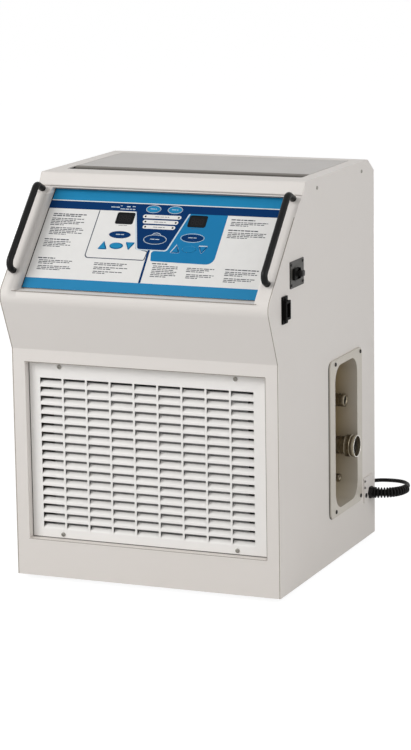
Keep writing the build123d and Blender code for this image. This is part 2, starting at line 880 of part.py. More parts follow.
toggle_view = front_view.offset(-breaker_centre[0] + toggle_slot[0] / 2 - key_clearance)
with BuildPart() as breaker_toggle:
    with BuildSketch(toggle_view):
        with Locations(toggle_centre):
            Circle(toggle_radius)
        with Locations((half_width + (toggle_reach - toggle_pivot_inset) / 2, breaker_centre[1])):
            Rectangle(toggle_reach + toggle_pivot_inset, toggle_thickness)
    extrude(amount=-toggle_slot[0] + 2 * key_clearance)
    with BuildSketch(toggle_view):
        with Locations(toggle_centre):
            Circle(toggle_pin_radius + hinge_running)
    extrude(amount=-toggle_slot[0], mode=Mode.SUBTRACT)
save(breaker_toggle.part, "breaker_toggle")

# Probe connector: a socket with a flange and two screws, on the side panel near the nose.
with BuildPart() as probe_connector:
    with BuildSketch(side_view.offset(half_width)):
        with Locations(connector_centre):
            RectangleRounded(*connector_flange, plate_corner)
    extrude(amount=connector_flange_sheet)
    with BuildSketch(side_view.offset(half_width)):
        with Locations(connector_centre):
            RectangleRounded(*connector_body, plate_corner)
    extrude(amount=connector_reach)
    with BuildSketch(side_view.offset(half_width)):
        with Locations(connector_centre):
            Rectangle(connector_hole[0] - 2 * body_play, connector_hole[1] - 2 * body_play)
    extrude(amount=-connector_back)
    with BuildSketch(side_view.offset(half_width + connector_reach)):
        with Locations(connector_centre):
            RectangleRounded(*socket_mouth, plate_corner)
    extrude(amount=-socket_depth, mode=Mode.SUBTRACT)
    with BuildSketch(side_view.offset(half_width + connector_flange_sheet)):
        with Locations(connector_centre):
            with GridLocations(0, connector_flange[1] - 2 * connector_screw_inset, 1, 2):
                Circle(connector_screw[0])
    extrude(amount=connector_screw[1])
save(probe_connector.part, "probe_connector")

# Hose recess: a deep moulded tub with a flange on the side panel, and three water fittings in its back.
recess_back = half_width - recess_depth


def fitting_view(height, reach):
    """The plane across one fitting's axis, reach out from the side panel's face."""
    return Plane(
        origin=(half_width + reach, front_y + fitting_depth, skirt_gap + height),
        x_dir=(0, 1, 0),
        z_dir=(1, 0, 0),
    )


with BuildPart() as fittings_tub:
    with BuildSketch(side_view.offset(half_width)):
        with Locations(recess_centre):
            RectangleRounded(recess_rear - recess_front, recess_high - recess_low, recess_flange_radius)
    extrude(amount=recess_flange_sheet)
    with BuildSketch(side_view.offset(half_width)):
        with Locations(recess_centre):
            RectangleRounded(
                recess_mouth[0] + 2 * recess_wall,
                recess_mouth[1] + 2 * recess_wall,
                recess_mouth_radius + recess_wall,
            )
    extrude(amount=-recess_depth - recess_wall)
    with BuildSketch(side_view.offset(half_width + recess_flange_sheet)):
        with Locations(recess_centre):
            RectangleRounded(*recess_mouth, recess_mouth_radius)
    extrude(amount=-recess_depth - recess_flange_sheet, mode=Mode.SUBTRACT)
    with BuildSketch(side_view.offset(recess_back)):
        with Locations(
            (fitting_depth, supply_height), (fitting_depth, return_height), (fitting_depth, drain_height)
        ):
            Circle(shank_radius + key_clearance)
    extrude(amount=-recess_wall, mode=Mode.SUBTRACT)
save(fittings_tub.part, "fittings_tub")

recess_screw_depths = (recess_front + recess_screw_front, recess_rear - recess_screw_rear)
recess_screw_heights = (recess_low + recess_screw_low, recess_high - recess_screw_high)
with BuildPart() as tub_screws:
    with BuildSketch(side_view.offset(half_width + recess_flange_sheet)):
        with Locations(*[(y, z) for y in recess_screw_depths for z in recess_screw_heights]):
            Circle(tub_head[0])
    extrude(amount=tub_head[1])
    fillet(tub_screws.faces().group_by(Axis.X)[-1].edges(), tub_head[2])
save(tub_screws.part, "tub_screws")



def fitting(height, reach, radius, nut, bore):
    """A nut on the recess's back wall, a round body that stands out to reach, a shank behind and a bore."""
    with BuildPart() as body:
        with BuildSketch(fitting_view(height, -recess_depth)):
            RegularPolygon(nut[0], 6)
        extrude(amount=nut[1])
        with BuildSketch(fitting_view(height, -recess_depth)):
            Circle(radius)
        extrude(amount=recess_depth + reach)
        with BuildSketch(fitting_view(height, -recess_depth)):
            Circle(shank_radius)
        extrude(amount=-recess_wall - shank_length)
        with BuildSketch(fitting_view(height, reach)):
            Circle(bore[0])
        extrude(amount=-bore[1], mode=Mode.SUBTRACT)
    return body.part


save(fitting(supply_height, supply_reach, coupling_radius, coupling_nut, coupling_bore), "supply_coupling")
save(fitting(return_height, return_reach, return_radius, return_nut, return_bore), "return_fitting")
save(fitting(drain_height, drain_reach, drain_radius, drain_nut, drain_bore), "drain_fitting")

with BuildPart() as coupling_sleeve:
    with BuildSketch(fitting_view(supply_height, supply_reach)):
        Circle(sleeve_radius)
        Circle(coupling_radius + sleeve_running, mode=Mode.SUBTRACT)
    extrude(amount=-sleeve_length)
save(coupling_sleeve.part, "coupling_sleeve")

# Mains lead: a small bracket and gland low at the back of the right side, a curved tapered strain relief, the
# lead itself, the coil of its spare length behind the cabinet, and the plug.
gland_y = front_y + gland_depth
gland_z = skirt_gap + gland_height
relief_start = (half_width + bracket_sheet + gland_reach, gland_y, gland_z)

with BuildPart() as gland_bracket:
    with BuildSketch(side_view.offset(half_width)):
        with Locations((gland_depth + bracket_shift[0], gland_height + bracket_shift[1])):
            RectangleRounded(*bracket_size, bracket_corner)
        with Locations((gland_depth, gland_height)):
            Circle(gland_radius - gland_hole_inset, mode=Mode.SUBTRACT)
    extrude(amount=bracket_sheet)
    with BuildSketch(side_view.offset(half_width + bracket_sheet)):
        with Locations(*[(gland_depth + y, gland_height + z) for y, z in bracket_screws]):
            Circle(bracket_screw[0])
    extrude(amount=bracket_screw[1])
save(gland_bracket.part, "gland_bracket")

with BuildPart() as cord_gland:
    with BuildSketch(side_view.offset(half_width + bracket_sheet)):
        with Locations((gland_depth, gland_height)):
            RegularPolygon(gland_hex, 6)
    extrude(amount=gland_hex_height)
    with BuildSketch(side_view.offset(half_width + bracket_sheet)):
        with Locations((gland_depth, gland_height)):
            Circle(gland_radius)
    extrude(amount=gland_reach)
    with BuildSketch(side_view.offset(half_width + bracket_sheet)):
        with Locations((gland_depth, gland_height)):
            Circle(gland_radius - gland_shank_inset)
    extrude(amount=-gland_shank_length)
save(cord_gland.part, "cord_gland")

relief_end = (
    relief_start[0] + relief_bend * sin(radians(relief_turn)),
    relief_start[1] + relief_bend * (1 - cos(radians(relief_turn))),
    relief_start[2],
)
relief_way = (cos(radians(relief_turn)), sin(radians(relief_turn)), 0)
with BuildPart() as strain_relief:
    with BuildLine() as relief_path:
        TangentArc(relief_start, relief_end, tangent=(1, 0, 0))
    with BuildSketch(Plane(origin=relief_start, z_dir=(1, 0, 0))):
        Circle(relief_root)
    with BuildSketch(Plane(origin=relief_end, z_dir=relief_way)):
        Circle(relief_tip)
    sweep(path=relief_path.line, multisection=True)
save(strain_relief.part, "strain_relief")

lead_route = [
    relief_end,
    (280.0, 269.0, 84.0),
    (267.0, 292.5, 84.5),
    (243.1, 301.5, 84.0),
    (205.5, 305.7, 81.0),
    (166.0, 303.0, 70.0),
    (128.0, 297.0, 49.0),
    (95.0, 287.0, 26.0),
    (64.0, 278.5, 9.5),
    (37.0, 274.5, cord_radius),
    (12.0, 272.3, cord_radius),
    (coil_centre[0], coil_centre[1] - coil_outer + cord_radius, cord_radius),
]
tail_route = [
    (coil_centre[0], coil_centre[1] - coil_outer + cord_radius, coil_height - cord_radius),
    (-34.0, 271.0, 18.5),
    (-58.0, 268.0, 10.0),
    (-83.0, 265.5, 6.0),
    (-106.0, 264.5, 8.8),
    (-127.0, 264.5, plug_radius),
]


def bend_radii(route):
    """The radius at each corner: as large as its two runs allow."""
    corners = [Vector(*point) for point in route]
    radii = []
    for before, corner, after in zip(corners, corners[1:], corners[2:]):
        run = min((corner - before).length, (after - corner).length)
        half_turn = radians((corner - before).get_angle(after - corner)) / 2
        radii.append(0.45 * run / tan(half_turn))
    return radii


with BuildPart() as power_cord:
    cord_length = 0
    for route in (lead_route, tail_route):
        with BuildLine() as cord_path:
            FilletPolyline(*route, radius=bend_radii(route))
        with BuildSketch(Plane(origin=cord_path.line @ 0, z_dir=cord_path.line % 0)):
            Circle(cord_radius)
        sweep()
        cord_length += sum(edge.length for edge in cord_path.edges())
        print("cord radii", [round(radius, 1) for radius in bend_radii(route)])
save(power_cord.part, "power_cord")
print("cord length", round(cord_length, 1))
print("tube volume over section times length", power_cord.part.volume / (pi * cord_radius**2 * cord_length))

with BuildPart() as power_cord_coil:
    with BuildSketch():
        with Locations(coil_centre):
            Circle(coil_outer)
            Circle(coil_inner, mode=Mode.SUBTRACT)
    extrude(amount=coil_height)
    fillet(power_cord_coil.edges(), coil_edge)
save(power_cord_coil.part, "power_cord_coil")

plug_way = Vector(*tail_route[-1]) - Vector(*tail_route[-2])
plug_view = Plane(origin=tail_route[-1], x_dir=(0, 0, 1), z_dir=(plug_way.X, plug_way.Y, 0))
with BuildPart() as power_plug:
    with BuildSketch(plug_view):
        Circle(plug_neck)
    with BuildSketch(plug_view.offset(plug_taper)):
        Circle(plug_shoulder)
    loft()
    with BuildSketch(plug_view.offset(plug_taper)):
        Circle(plug_radius)
    extrude(amount=plug_length - plug_taper)
    with BuildSketch(plug_view.offset(plug_length)):
        with Locations(*blade_places):
            Rectangle(blade_size[0], blade_size[1])
    extrude(amount=blade_size[2])
    with BuildSketch(plug_view.offset(plug_length)):
        with Locations(ground_pin_place):
            Circle(ground_pin[0])
    extrude(amount=ground_pin[1])
save(power_plug.part, "power_plug")

# Casters: a plate with a kingpin under each corner of the deck, a fork that swivels on it and trails
# backwards, and a wheel on the fork's axle.
deck_bottom = skirt_gap + deck_height
fork_top = deck_bottom - caster_plate[2] - boss_height - fork_play
caster_places = {
    "front_left": (-caster_x, front_y + caster_front),
    "front_right": (caster_x, front_y + caster_front),
    "rear_left": (-caster_x, front_y + caster_rear),
    "rear_right": (caster_x, front_y + caster_rear),
}

with BuildPart() as caster_plates:
    for place in caster_places.values():
        with BuildSketch(Plane.XY.offset(deck_bottom)):
            with Locations(place):
                RectangleRounded(caster_plate[0], caster_plate[1], caster_plate_corner)
        extrude(amount=-caster_plate[2])
        with BuildSketch(Plane.XY.offset(deck_bottom - caster_plate[2])):
            with Locations(place):
                Circle(boss_radius)
        extrude(amount=-boss_height)
        with BuildSketch(Plane.XY.offset(fork_top + fork_play)):
            with Locations(place):
                Circle(pin_radius)
        extrude(amount=-fork_top_sheet - 2 * fork_play)
        with BuildSketch(Plane.XY.offset(fork_top - fork_top_sheet - fork_play)):
            with Locations(place):
                Circle(pin_head_radius)
        extrude(amount=-pin_head)
save(caster_plates.part, "caster_plates")

leg_inner = wheel_width / 2 + fork_gap
leg_outer = leg_inner + fork_sheet
for caster_name, (pivot_x, pivot_y) in caster_places.items():
    fork_side = Plane(origin=(pivot_x, pivot_y, 0), x_dir=(0, 1, 0), z_dir=(1, 0, 0))
    with BuildPart() as fork:
        with BuildSketch(Plane.XY.offset(fork_top)):
            with Locations((pivot_x, pivot_y)):
                RectangleRounded(2 * leg_outer, fork_top_depth, fork_corner)
        extrude(amount=-fork_top_sheet)
        with BuildSketch(fork_side.offset(-leg_outer)):
            with BuildLine():
                Polyline(
                    (-fork_front, fork_top),
                    (-fork_front, fork_top - fork_throat),
                    (caster_trail - fork_foot, wheel_radius - axle_radius),
                    (caster_trail, wheel_radius - fork_foot),
                    (caster_trail + fork_foot, wheel_radius - axle_radius),
                    (fork_rear, fork_top - fork_throat),
                    (fork_rear, fork_top),
                    close=True,
                )
            make_face()
        extrude(amount=2 * leg_outer)
        with BuildSketch(fork_side.offset(-leg_inner)):
            with Locations((0, (fork_top - fork_top_sheet) / 2)):
                Rectangle(4 * wheel_radius, fork_top - fork_top_sheet)
        extrude(amount=2 * leg_inner, mode=Mode.SUBTRACT)
        with BuildSketch(fork_side.offset(-leg_outer - axle_end)):
            with Locations((caster_trail, wheel_radius)):
                Circle(axle_radius)
        extrude(amount=2 * (leg_outer + axle_end))
        with BuildSketch(Plane.XY.offset(fork_top)):
            with Locations((pivot_x, pivot_y)):
                Circle(pin_radius + pin_running)
        extrude(amount=-fork_top_sheet, mode=Mode.SUBTRACT)
    save(fork.part, f"caster_fork_{caster_name}")
    with BuildPart() as wheel:
        with BuildSketch(fork_side.offset(-wheel_width / 2)):
            with Locations((caster_trail, wheel_radius)):
                Circle(wheel_radius)
        extrude(amount=wheel_width)
        fillet(wheel.edges(), wheel_edge)
        with BuildSketch(fork_side.offset(-wheel_width / 2)):
            with Locations((caster_trail, wheel_radius)):
                Circle(axle_radius + wheel_running)
        extrude(amount=wheel_width, mode=Mode.SUBTRACT)
    save(wheel.part, f"caster_wheel_{caster_name}")

# Refrigeration: the condenser behind the intake, its shroud with the fan motor, the fan and the compressor.
condenser_low = deck_top + condenser_lift
condenser_rear = condenser_front + condenser_size[1]
condenser_middle = (condenser_front + condenser_rear) / 2
fan_height = condenser_low + condenser_size[2] / 2

with BuildPart() as condenser_coil:
    with BuildSketch(top_view.offset(condenser_low)):
        with Locations((0, condenser_middle)):
            Rectangle(condenser_size[0], condenser_size[1])
    extrude(amount=condenser_size[2])
    with BuildSketch(top_view.offset(deck_top)):
        with Locations(*[(side * condenser_foot[1], condenser_middle) for side in (-1, 1)]):
            Rectangle(condenser_foot[0], condenser_size[1])
    extrude(amount=condenser_lift)
    with BuildSketch(side_view.offset(-condenser_size[0] / 2 - bend_reach)):
        with Locations((condenser_middle, fan_height)):
            with GridLocations(0, bend_pitch, 1, bend_rows):
                SlotOverall(*bend_slot)
    extrude(amount=condenser_size[0] + 2 * bend_reach)
save(condenser_coil.part, "condenser_coil")

ring_radius = fan_radius + fan_clearance
motor_front = condenser_rear + shroud_depth + spider_sheet
fan_front = condenser_rear + fan_gap
shaft_tip = fan_front + fan_shaft_inset
with BuildPart() as fan_shroud:
    with BuildSketch(front_view.offset(-condenser_rear)):
        with Locations((0, fan_height)):
            Rectangle(condenser_size[0], condenser_size[2])
            Circle(ring_radius, mode=Mode.SUBTRACT)
    extrude(amount=-sheet)
    with BuildSketch(front_view.offset(-condenser_rear)):
        with Locations((0, fan_height)):
            Circle(ring_radius + sheet)
            Circle(ring_radius, mode=Mode.SUBTRACT)
    extrude(amount=-shroud_depth)
    with BuildSketch(front_view.offset(-condenser_rear - shroud_depth)):
        with Locations((0, fan_height)):
            Rectangle(2 * (ring_radius + sheet), spider_width)
            Rectangle(spider_width, 2 * (ring_radius + sheet))
    extrude(amount=-spider_sheet)
    with BuildSketch(front_view.offset(-motor_front)):
        with Locations((0, fan_height)):
            Circle(motor_radius)
    extrude(amount=-motor_length)
    with BuildSketch(front_view.offset(-shaft_tip)):
        with Locations((0, fan_height)):
            Circle(fan_shaft_radius)
    extrude(amount=-(motor_front - shaft_tip))
save(fan_shroud.part, "fan_shroud")

with BuildPart() as condenser_fan:
    with BuildSketch(front_view.offset(-fan_front)):
        with Locations((0, fan_height)):
            Circle(fan_hub_radius)
    extrude(amount=-fan_depth)
    for blade in range(fan_blades):
        turn = radians(360 / fan_blades * blade)
        blade_axis = Plane(
            origin=(0, front_y + fan_front + fan_depth / 2, skirt_gap + fan_height),
            x_dir=(-sin(turn), 0, cos(turn)),
            z_dir=(cos(turn), 0, sin(turn)),
        )
        with BuildSketch(blade_axis.offset(fan_hub_radius * 0.85)):
            Rectangle(blade_root_chord, blade_thickness, rotation=blade_root_pitch)
        with BuildSketch(blade_axis.offset(fan_radius)):
            Rectangle(blade_tip_chord, blade_thickness, rotation=blade_tip_pitch)
        loft()
    with BuildSketch(front_view.offset(-fan_front)):
        with Locations((0, fan_height)):
            Circle(fan_shaft_radius + wheel_running)
    extrude(amount=-fan_depth, mode=Mode.SUBTRACT)
save(condenser_fan.part, "condenser_fan")

# The compressor, the pumps and the fittings share the deck's width with equal gaps
deck_gap = (2 * inner_half_width - compressor_base[0] - 4 * pump_radius - fitting_zone) / 4
compressor_x = -inner_half_width + deck_gap + compressor_base[0] / 2
compressor_place = (compressor_x, rear_reach - compressor_rear_gap)
compressor_foot_pitch = [size - 2 * compressor_foot_inset for size in compressor_base[:2]]
with BuildPart() as compressor:
    with BuildSketch(top_view.offset(deck_top + compressor_lift)):
        with Locations(compressor_place):
            Circle(compressor_radius)
    extrude(amount=compressor_height - compressor_lift)
    fillet(compressor.faces().sort_by(Axis.Z)[-1].edges(), compressor_dome)
    with BuildSketch(top_view.offset(deck_top + compressor_foot[1])):
        with Locations(compressor_place):
            RectangleRounded(compressor_base[0], compressor_base[1], compressor_base_corner)
    extrude(amount=compressor_base[2])
    with BuildSketch(top_view.offset(deck_top)):
        with Locations(compressor_place):
            with GridLocations(*compressor_foot_pitch, 2, 2):
                Circle(compressor_foot[0])
    extrude(amount=compressor_foot[1])
save(compressor.part, "compressor")

# Water circuit: two pumps on the deck, a shelf between the side panels, and the two tanks on it, whose filler
# necks stand up through the well's floor.
pump_axis = deck_top + pump_radius + pump_lift
pump_row = rear_reach - pump_rear_gap
pump_first = compressor_x + compressor_base[0] / 2 + deck_gap + pump_radius
pump_places = (pump_first, pump_first + 2 * pump_radius + deck_gap)

with BuildPart() as circulation_pumps:
    with BuildSketch(front_view.offset(-pump_row + pump_length / 2)):
        with Locations(*[(x, pump_axis) for x in pump_places]):
            Circle(pump_radius)
    extrude(amount=-pump_length)
    with BuildSketch(front_view.offset(-pump_row + pump_length / 2)):
        with Locations(*[(x, pump_axis) for x in pump_places]):
            Circle(pump_nose[0])
    extrude(amount=pump_nose[1])
    with BuildSketch(top_view.offset(deck_top)):
        with Locations(*[(x, pump_row) for x in pump_places]):
            Rectangle(pump_base[0], pump_base[1])
    extrude(amount=pump_base[2])
save(circulation_pumps.part, "circulation_pumps")

shelf_depth = cabinet_depth - sheet - shelf_front
with BuildPart() as equipment_shelf:
    with BuildSketch(top_view.offset(shelf_height)):
        with Locations((0, shelf_front + shelf_depth / 2)):
            Rectangle(2 * inner_half_width, shelf_depth)
    extrude(amount=-shelf_edge)
    with BuildSketch(top_view.offset(shelf_height - sheet)):
        with Locations((0, shelf_front + shelf_depth / 2)):
            Rectangle(2 * (inner_half_width - sheet), shelf_depth - 2 * sheet)
    extrude(amount=-shelf_edge, mode=Mode.SUBTRACT)
save(equipment_shelf.part, "equipment_shelf")

tank_height = well_floor - tank_headroom - shelf_height
with BuildPart() as water_reservoirs:
    with BuildSketch(top_view.offset(shelf_height)):
        with Locations(*[(x, rear_reach - tank_rear_gap) for x in (-filler_offset, filler_offset)]):
            RectangleRounded(tank_width, tank_depth, tank_corner)
    extrude(amount=tank_height)
    with BuildSketch(top_view.offset(shelf_height + tank_height)):
        with Locations(*filler_places):
            Circle(neck_radius)
    extrude(amount=well_floor + sheet + neck_rise - key_clearance - shelf_height - tank_height)
save(water_reservoirs.part, "water_reservoirs")

# Screws that hold the grille, and those that hold the top and the back.
with BuildPart() as grille_screws:
    with BuildSketch(front_view.offset(-intake_recess)):
        with Locations(*grille_screw_places):
            Circle(grille_head[0])
    extrude(amount=grille_head[1])
    fillet(grille_screws.faces().group_by(Axis.Y)[0].edges(), grille_head[2])
    with BuildSketch(front_view.offset(-intake_recess)):
        with Locations(*grille_screw_places):
            Circle(grille_screw_shank)
    extrude(amount=-grille_screw_length)
save(grille_screws.part, "grille_screws")

cover_screw_height = cabinet_height - cover_screw_drop
cover_screw_depths = (cover_screw_front, rear_reach - cover_screw_rear)
rear_screw_width = 2 * (half_width - rear_screw_inset)
rear_screw_pitch = (rear_top - 2 * rear_screw_end) / (rear_screw_rows - 1)
with BuildPart() as cover_screws:
    for side in (-1, 1):
        with BuildSketch(side_view.offset(side * half_width)):
            with Locations(*[(depth, cover_screw_height) for depth in cover_screw_depths]):
                Circle(cover_head[0])
        extrude(amount=side * cover_head[1])
    with BuildSketch(rear_view):
        with Locations((0, rear_top / 2)):
            with GridLocations(rear_screw_width, rear_screw_pitch, 2, rear_screw_rows):
                Circle(cover_head[0])
    extrude(amount=cover_head[1])
save(cover_screws.part, "cover_screws")
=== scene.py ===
from math import atan2, copysign, cos, pi, radians, sin, tan

import bmesh
import bpy
from mathutils import Matrix, Vector


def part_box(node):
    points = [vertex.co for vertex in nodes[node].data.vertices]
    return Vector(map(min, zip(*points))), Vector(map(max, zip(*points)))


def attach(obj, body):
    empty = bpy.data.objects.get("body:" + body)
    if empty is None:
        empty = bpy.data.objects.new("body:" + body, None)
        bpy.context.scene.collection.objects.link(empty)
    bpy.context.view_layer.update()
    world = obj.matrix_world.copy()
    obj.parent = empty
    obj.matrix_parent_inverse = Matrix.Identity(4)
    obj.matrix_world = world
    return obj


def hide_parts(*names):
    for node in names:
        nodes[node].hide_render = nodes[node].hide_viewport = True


# Patient heating and cooling unit: a pale sheet-metal cabinet with a printed console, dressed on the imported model.
# Sizes are in metres in the cabinet's own frame: +X to the viewer's right, the front faces -Y, z = 0 on the floor.
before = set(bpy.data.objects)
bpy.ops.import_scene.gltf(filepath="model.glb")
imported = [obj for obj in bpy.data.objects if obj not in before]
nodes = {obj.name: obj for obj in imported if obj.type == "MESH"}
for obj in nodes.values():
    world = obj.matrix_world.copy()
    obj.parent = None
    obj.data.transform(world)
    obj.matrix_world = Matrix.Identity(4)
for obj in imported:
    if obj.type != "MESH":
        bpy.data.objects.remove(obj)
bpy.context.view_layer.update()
scene = bpy.context.scene

# Camera at the photograph's place: to the right of the front and above the console, looking a little down.
camera_data = bpy.data.cameras.new("studio_camera")
camera_data.sensor_width = 36
camera_data.lens = 134.8
camera = bpy.data.objects.new("studio_camera", camera_data)
camera_place = (1.7678, -4.1491, 1.2279)
camera_forward = Vector((-0.3804, 0.9031, -0.1992)).normalized()
camera_right = Vector((0.9227, 0.3853, -0.0152)).normalized()
camera_up = camera_right.cross(camera_forward)
camera_turn = Matrix((camera_right, camera_up, -camera_forward)).transposed().to_4x4()
camera.matrix_world = Matrix.Translation(camera_place) @ camera_turn
scene.collection.objects.link(camera)
scene.camera = camera

# Mains lead: black rubber-sheathed cord that leaves low at the back of the right side, turns back round the corner
# and runs down to the floor behind the cabinet, where its spare length lies in a neat coil with the plug beside it.
cord_diameter = 0.0065


class Signal:
    """A socket of a node tree. Arithmetic on it adds the Math nodes."""

    def __init__(self, tree, socket):
        self.tree = tree
        self.socket = socket

    def node(self, kind, settings, inputs, output=0):
        """Add a node, set it up, feed its sockets with values or signals, and return one of its outputs."""
        made = self.tree.nodes.new(kind)
        for name, value in settings.items():
            setattr(made, name, value)
        for name, value in inputs.items():
            if isinstance(value, Signal):
                self.tree.links.new(value.socket, made.inputs[name])
            else:
                made.inputs[name].default_value = value
        return Signal(self.tree, made.outputs[output])

    def maths(self, operation, *values):
        return self.node("ShaderNodeMath", {"operation": operation}, dict(enumerate(values)))

    def __add__(self, other):
        return self.maths("ADD", self, other)

    __radd__ = __add__

    def __sub__(self, other):
        return self.maths("SUBTRACT", self, other)

    def __mul__(self, other):
        return self.maths("MULTIPLY", self, other)

    def __gt__(self, other):
        return self.maths("GREATER_THAN", self, other)

    def __lt__(self, other):
        return self.maths("LESS_THAN", self, other)

    def __abs__(self):
        return self.maths("ABSOLUTE", self)

    def axis(self, letter):
        """One part of a vector signal: "X", "Y" or "Z"."""
        return self.node("ShaderNodeSeparateXYZ", {}, {"Vector": self}, output=letter)

    def ramp(self, start, end):
        """0 to 1 while this signal goes from start to end, and held there beyond them."""
        return self.node("ShaderNodeMapRange", {"clamp": True}, {"Value": self, "From Min": start, "From Max": end})

    def noise(self, scale, detail=3.0, roughness=0.5):
        """A grey cloud over the piece, from 0 to 1."""
        return self.node("ShaderNodeTexNoise", {}, {"Vector": self, "Scale": scale, "Detail": detail,
                                                    "Roughness": roughness})

    def blend(self, low, high):
        """A colour that goes from low to high with this signal."""
        low, high = ((*tone, 1) if isinstance(tone, tuple) else tone for tone in (low, high))
        return self.node("ShaderNodeMix", {"data_type": "RGBA"}, {"Factor": self, 6: low, 7: high}, output=2)

    def level(self, low, high):
        """A number that goes from low to high with this signal."""
        return self * (high - low) + low


def new_finish(name, specular=0.5, metallic=0.0):
    """A material with its plain shader values, and its Object coordinates as a signal."""
    material = bpy.data.materials.new(name)
    material.use_nodes = True
    shader = material.node_tree.nodes["Principled BSDF"]
    shader.inputs["Specular IOR Level"].default_value = specular
    shader.inputs["Metallic"].default_value = metallic
    place = Signal(material.node_tree, None).node("ShaderNodeTexCoord", {}, {}, output="Object")
    return material, place


def feed(material, **signals):
    """Link signals to the shader's sockets; bump is a height with its depth in metres."""
    shader = material.node_tree.nodes["Principled BSDF"]
    for name, signal in signals.items():
        if name == "bump":
            height, depth = signal
            signal = height.node("ShaderNodeBump", {}, {"Height": height, "Distance": depth, "Strength": 0.6})
            name = "Normal"
        material.node_tree.links.new(signal.socket, shader.inputs[name.replace("_", " ")])


def mottled(name, cloud, tones, gloss, grain=None, specular=0.5, metallic=0.0):
    """A finish between two tones and two roughnesses, by one noise; grain is a noise with its depth in metres."""
    material, place = new_finish(name, specular, metallic)
    mix = place.noise(*cloud)
    feed(material, Base_Color=mix.blend(*tones), Roughness=mix.level(*gloss))
    if grain:
        scale_and_detail, depth = grain
        feed(material, bump=(place.noise(*scale_and_detail), depth))
    return material


def dress(material, *names):
    """Give carried-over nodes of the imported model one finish."""
    for name in names:
        materials = nodes[name].data.materials
        materials.clear()
        materials.append(material)


rubber = mottled("cord_rubber", (160, 4), ((0.005, 0.005, 0.005), (0.012, 0.0115, 0.011)), (0.42, 0.62),
                 ((1400, 2), 0.0004), specular=0.14)

on_floor = cord_diameter / 2
coil_x, coil_y = -0.012, 0.32
coil_inner = 0.0245
lead_points = [
    (0.28, 0.251, 0.084), (0.28, 0.269, 0.084), (0.267, 0.2925, 0.0845), (0.2431, 0.3015, 0.084),
    (0.2055, 0.3057, 0.081), (0.166, 0.303, 0.07), (0.128, 0.297, 0.049), (0.095, 0.287, 0.026),
    (0.064, 0.2785, 0.0095), (0.037, 0.2745, on_floor), (0.012, 0.2723, on_floor),
]
tail_points = [
    (-0.034, 0.271, 0.0185), (-0.058, 0.268, 0.01), (-0.083, 0.2655, 0.006), (-0.106, 0.2645, 0.0088),
    (-0.127, 0.2645, 0.013),
]
turn_points = 16
turns_wide = 4
turns_high = 4
crossing_points = 3
curve_shortfall = 0.981  # the curve cuts its points' corners, to this share of their radius
coil_points = []
for step in range(turns_wide * turns_high * turn_points + 1):
    turn, part = divmod(step, turn_points)
    turn = min(turn, turns_wide * turns_high - 1)
    layer, column = divmod(turn, turns_wide)
    shift = max(0, part - turn_points + crossing_points) / crossing_points
    last_column = column == turns_wide - 1
    across = column if last_column else column + shift
    rise = layer + shift if last_column and layer < turns_high - 1 else layer
    outward = turns_wide - 1 - across if layer % 2 == 0 else across
    radius = (coil_inner + cord_diameter * (outward + 0.5)) / curve_shortfall
    angle = -pi / 2 - 2 * pi * step / turn_points
    coil_points.append((coil_x + radius * cos(angle), coil_y + radius * sin(angle), cord_diameter * (rise + 0.5)))

cord_curve = bpy.data.curves.new("mains_lead", "CURVE")
cord_curve.dimensions = "3D"
cord_line = cord_curve.splines.new("NURBS")
route = lead_points + coil_points[1:-1] + tail_points
cord_line.points.add(len(route) - 1)
for point, spot in zip(cord_line.points, route):
    point.co = (*spot, 1)
cord_line.order_u = 3
cord_line.use_endpoint_u = True
cord_line.resolution_u = 5
cord_curve.bevel_depth = cord_diameter / 2
cord_curve.bevel_resolution = 3
cord_curve.use_fill_caps = True
mains_lead = bpy.data.objects.new("mains_lead", cord_curve)
scene.collection.objects.link(mains_lead)


def fit(piece, material, slot, *stands_for, body="cabinet"):
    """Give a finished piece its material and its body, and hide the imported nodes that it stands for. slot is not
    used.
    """
    piece.data.materials.clear()
    piece.data.materials.append(material)
    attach(piece, body)
    if stands_for:
        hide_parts(*stands_for)


def from_mesh(name, mesh_data, smooth=40):
    """An object at the origin for a finished bmesh, with its faces outwards and shaded smooth up to an angle."""
    bmesh.ops.remove_doubles(mesh_data, verts=mesh_data.verts, dist=1e-6)
    bmesh.ops.recalc_face_normals(mesh_data, faces=mesh_data.faces)
    mesh = bpy.data.meshes.new(name)
    mesh_data.to_mesh(mesh)
    mesh_data.free()
    mesh.shade_smooth()
    mesh.set_sharp_from_angle(angle=radians(smooth))
    piece = bpy.data.objects.new(name, mesh)
    scene.collection.objects.link(piece)
    return piece


def skin(mesh_data, rings, ends="capped"):
    """Join rings of points with faces. The first and last ring are capped, joined to each other or left open."""
    rings = [[mesh_data.verts.new(point) for point in ring] for ring in rings]
    for low, high in zip(rings, rings[1:] + (rings[:1] if ends == "joined" else [])):
        for k in range(len(low)):
            mesh_data.faces.new((low[k - 1], low[k], high[k], high[k - 1]))
    if ends == "capped":
        mesh_data.faces.new(rings[0])
        mesh_data.faces.new(rings[-1])


def skinned(name, smooth, *bodies, ends="capped"):
    """An object with a skin over the rings of each body."""
    mesh_data = bmesh.new()
    for rings in bodies:
        skin(mesh_data, rings, ends)
    return from_mesh(name, mesh_data, smooth)


def turned(profile, place, steps=48, notch_steps=1):
    """Rings of a body turned about +X of place: reach, radius and, if any, depth of notches, in millimetres."""
    rings = []
    for reach, radius, *notch in profile:
        ring = []
        for k in range(steps):
            spoke = radius - (notch[0] * (k // notch_steps % 2) if notch else 0)
            angle = 2 * pi * k / steps
            ring.append(place @ (Vector((reach, spoke * cos(angle), spoke * sin(angle))) * 0.001))
        rings.append(ring)
    return rings


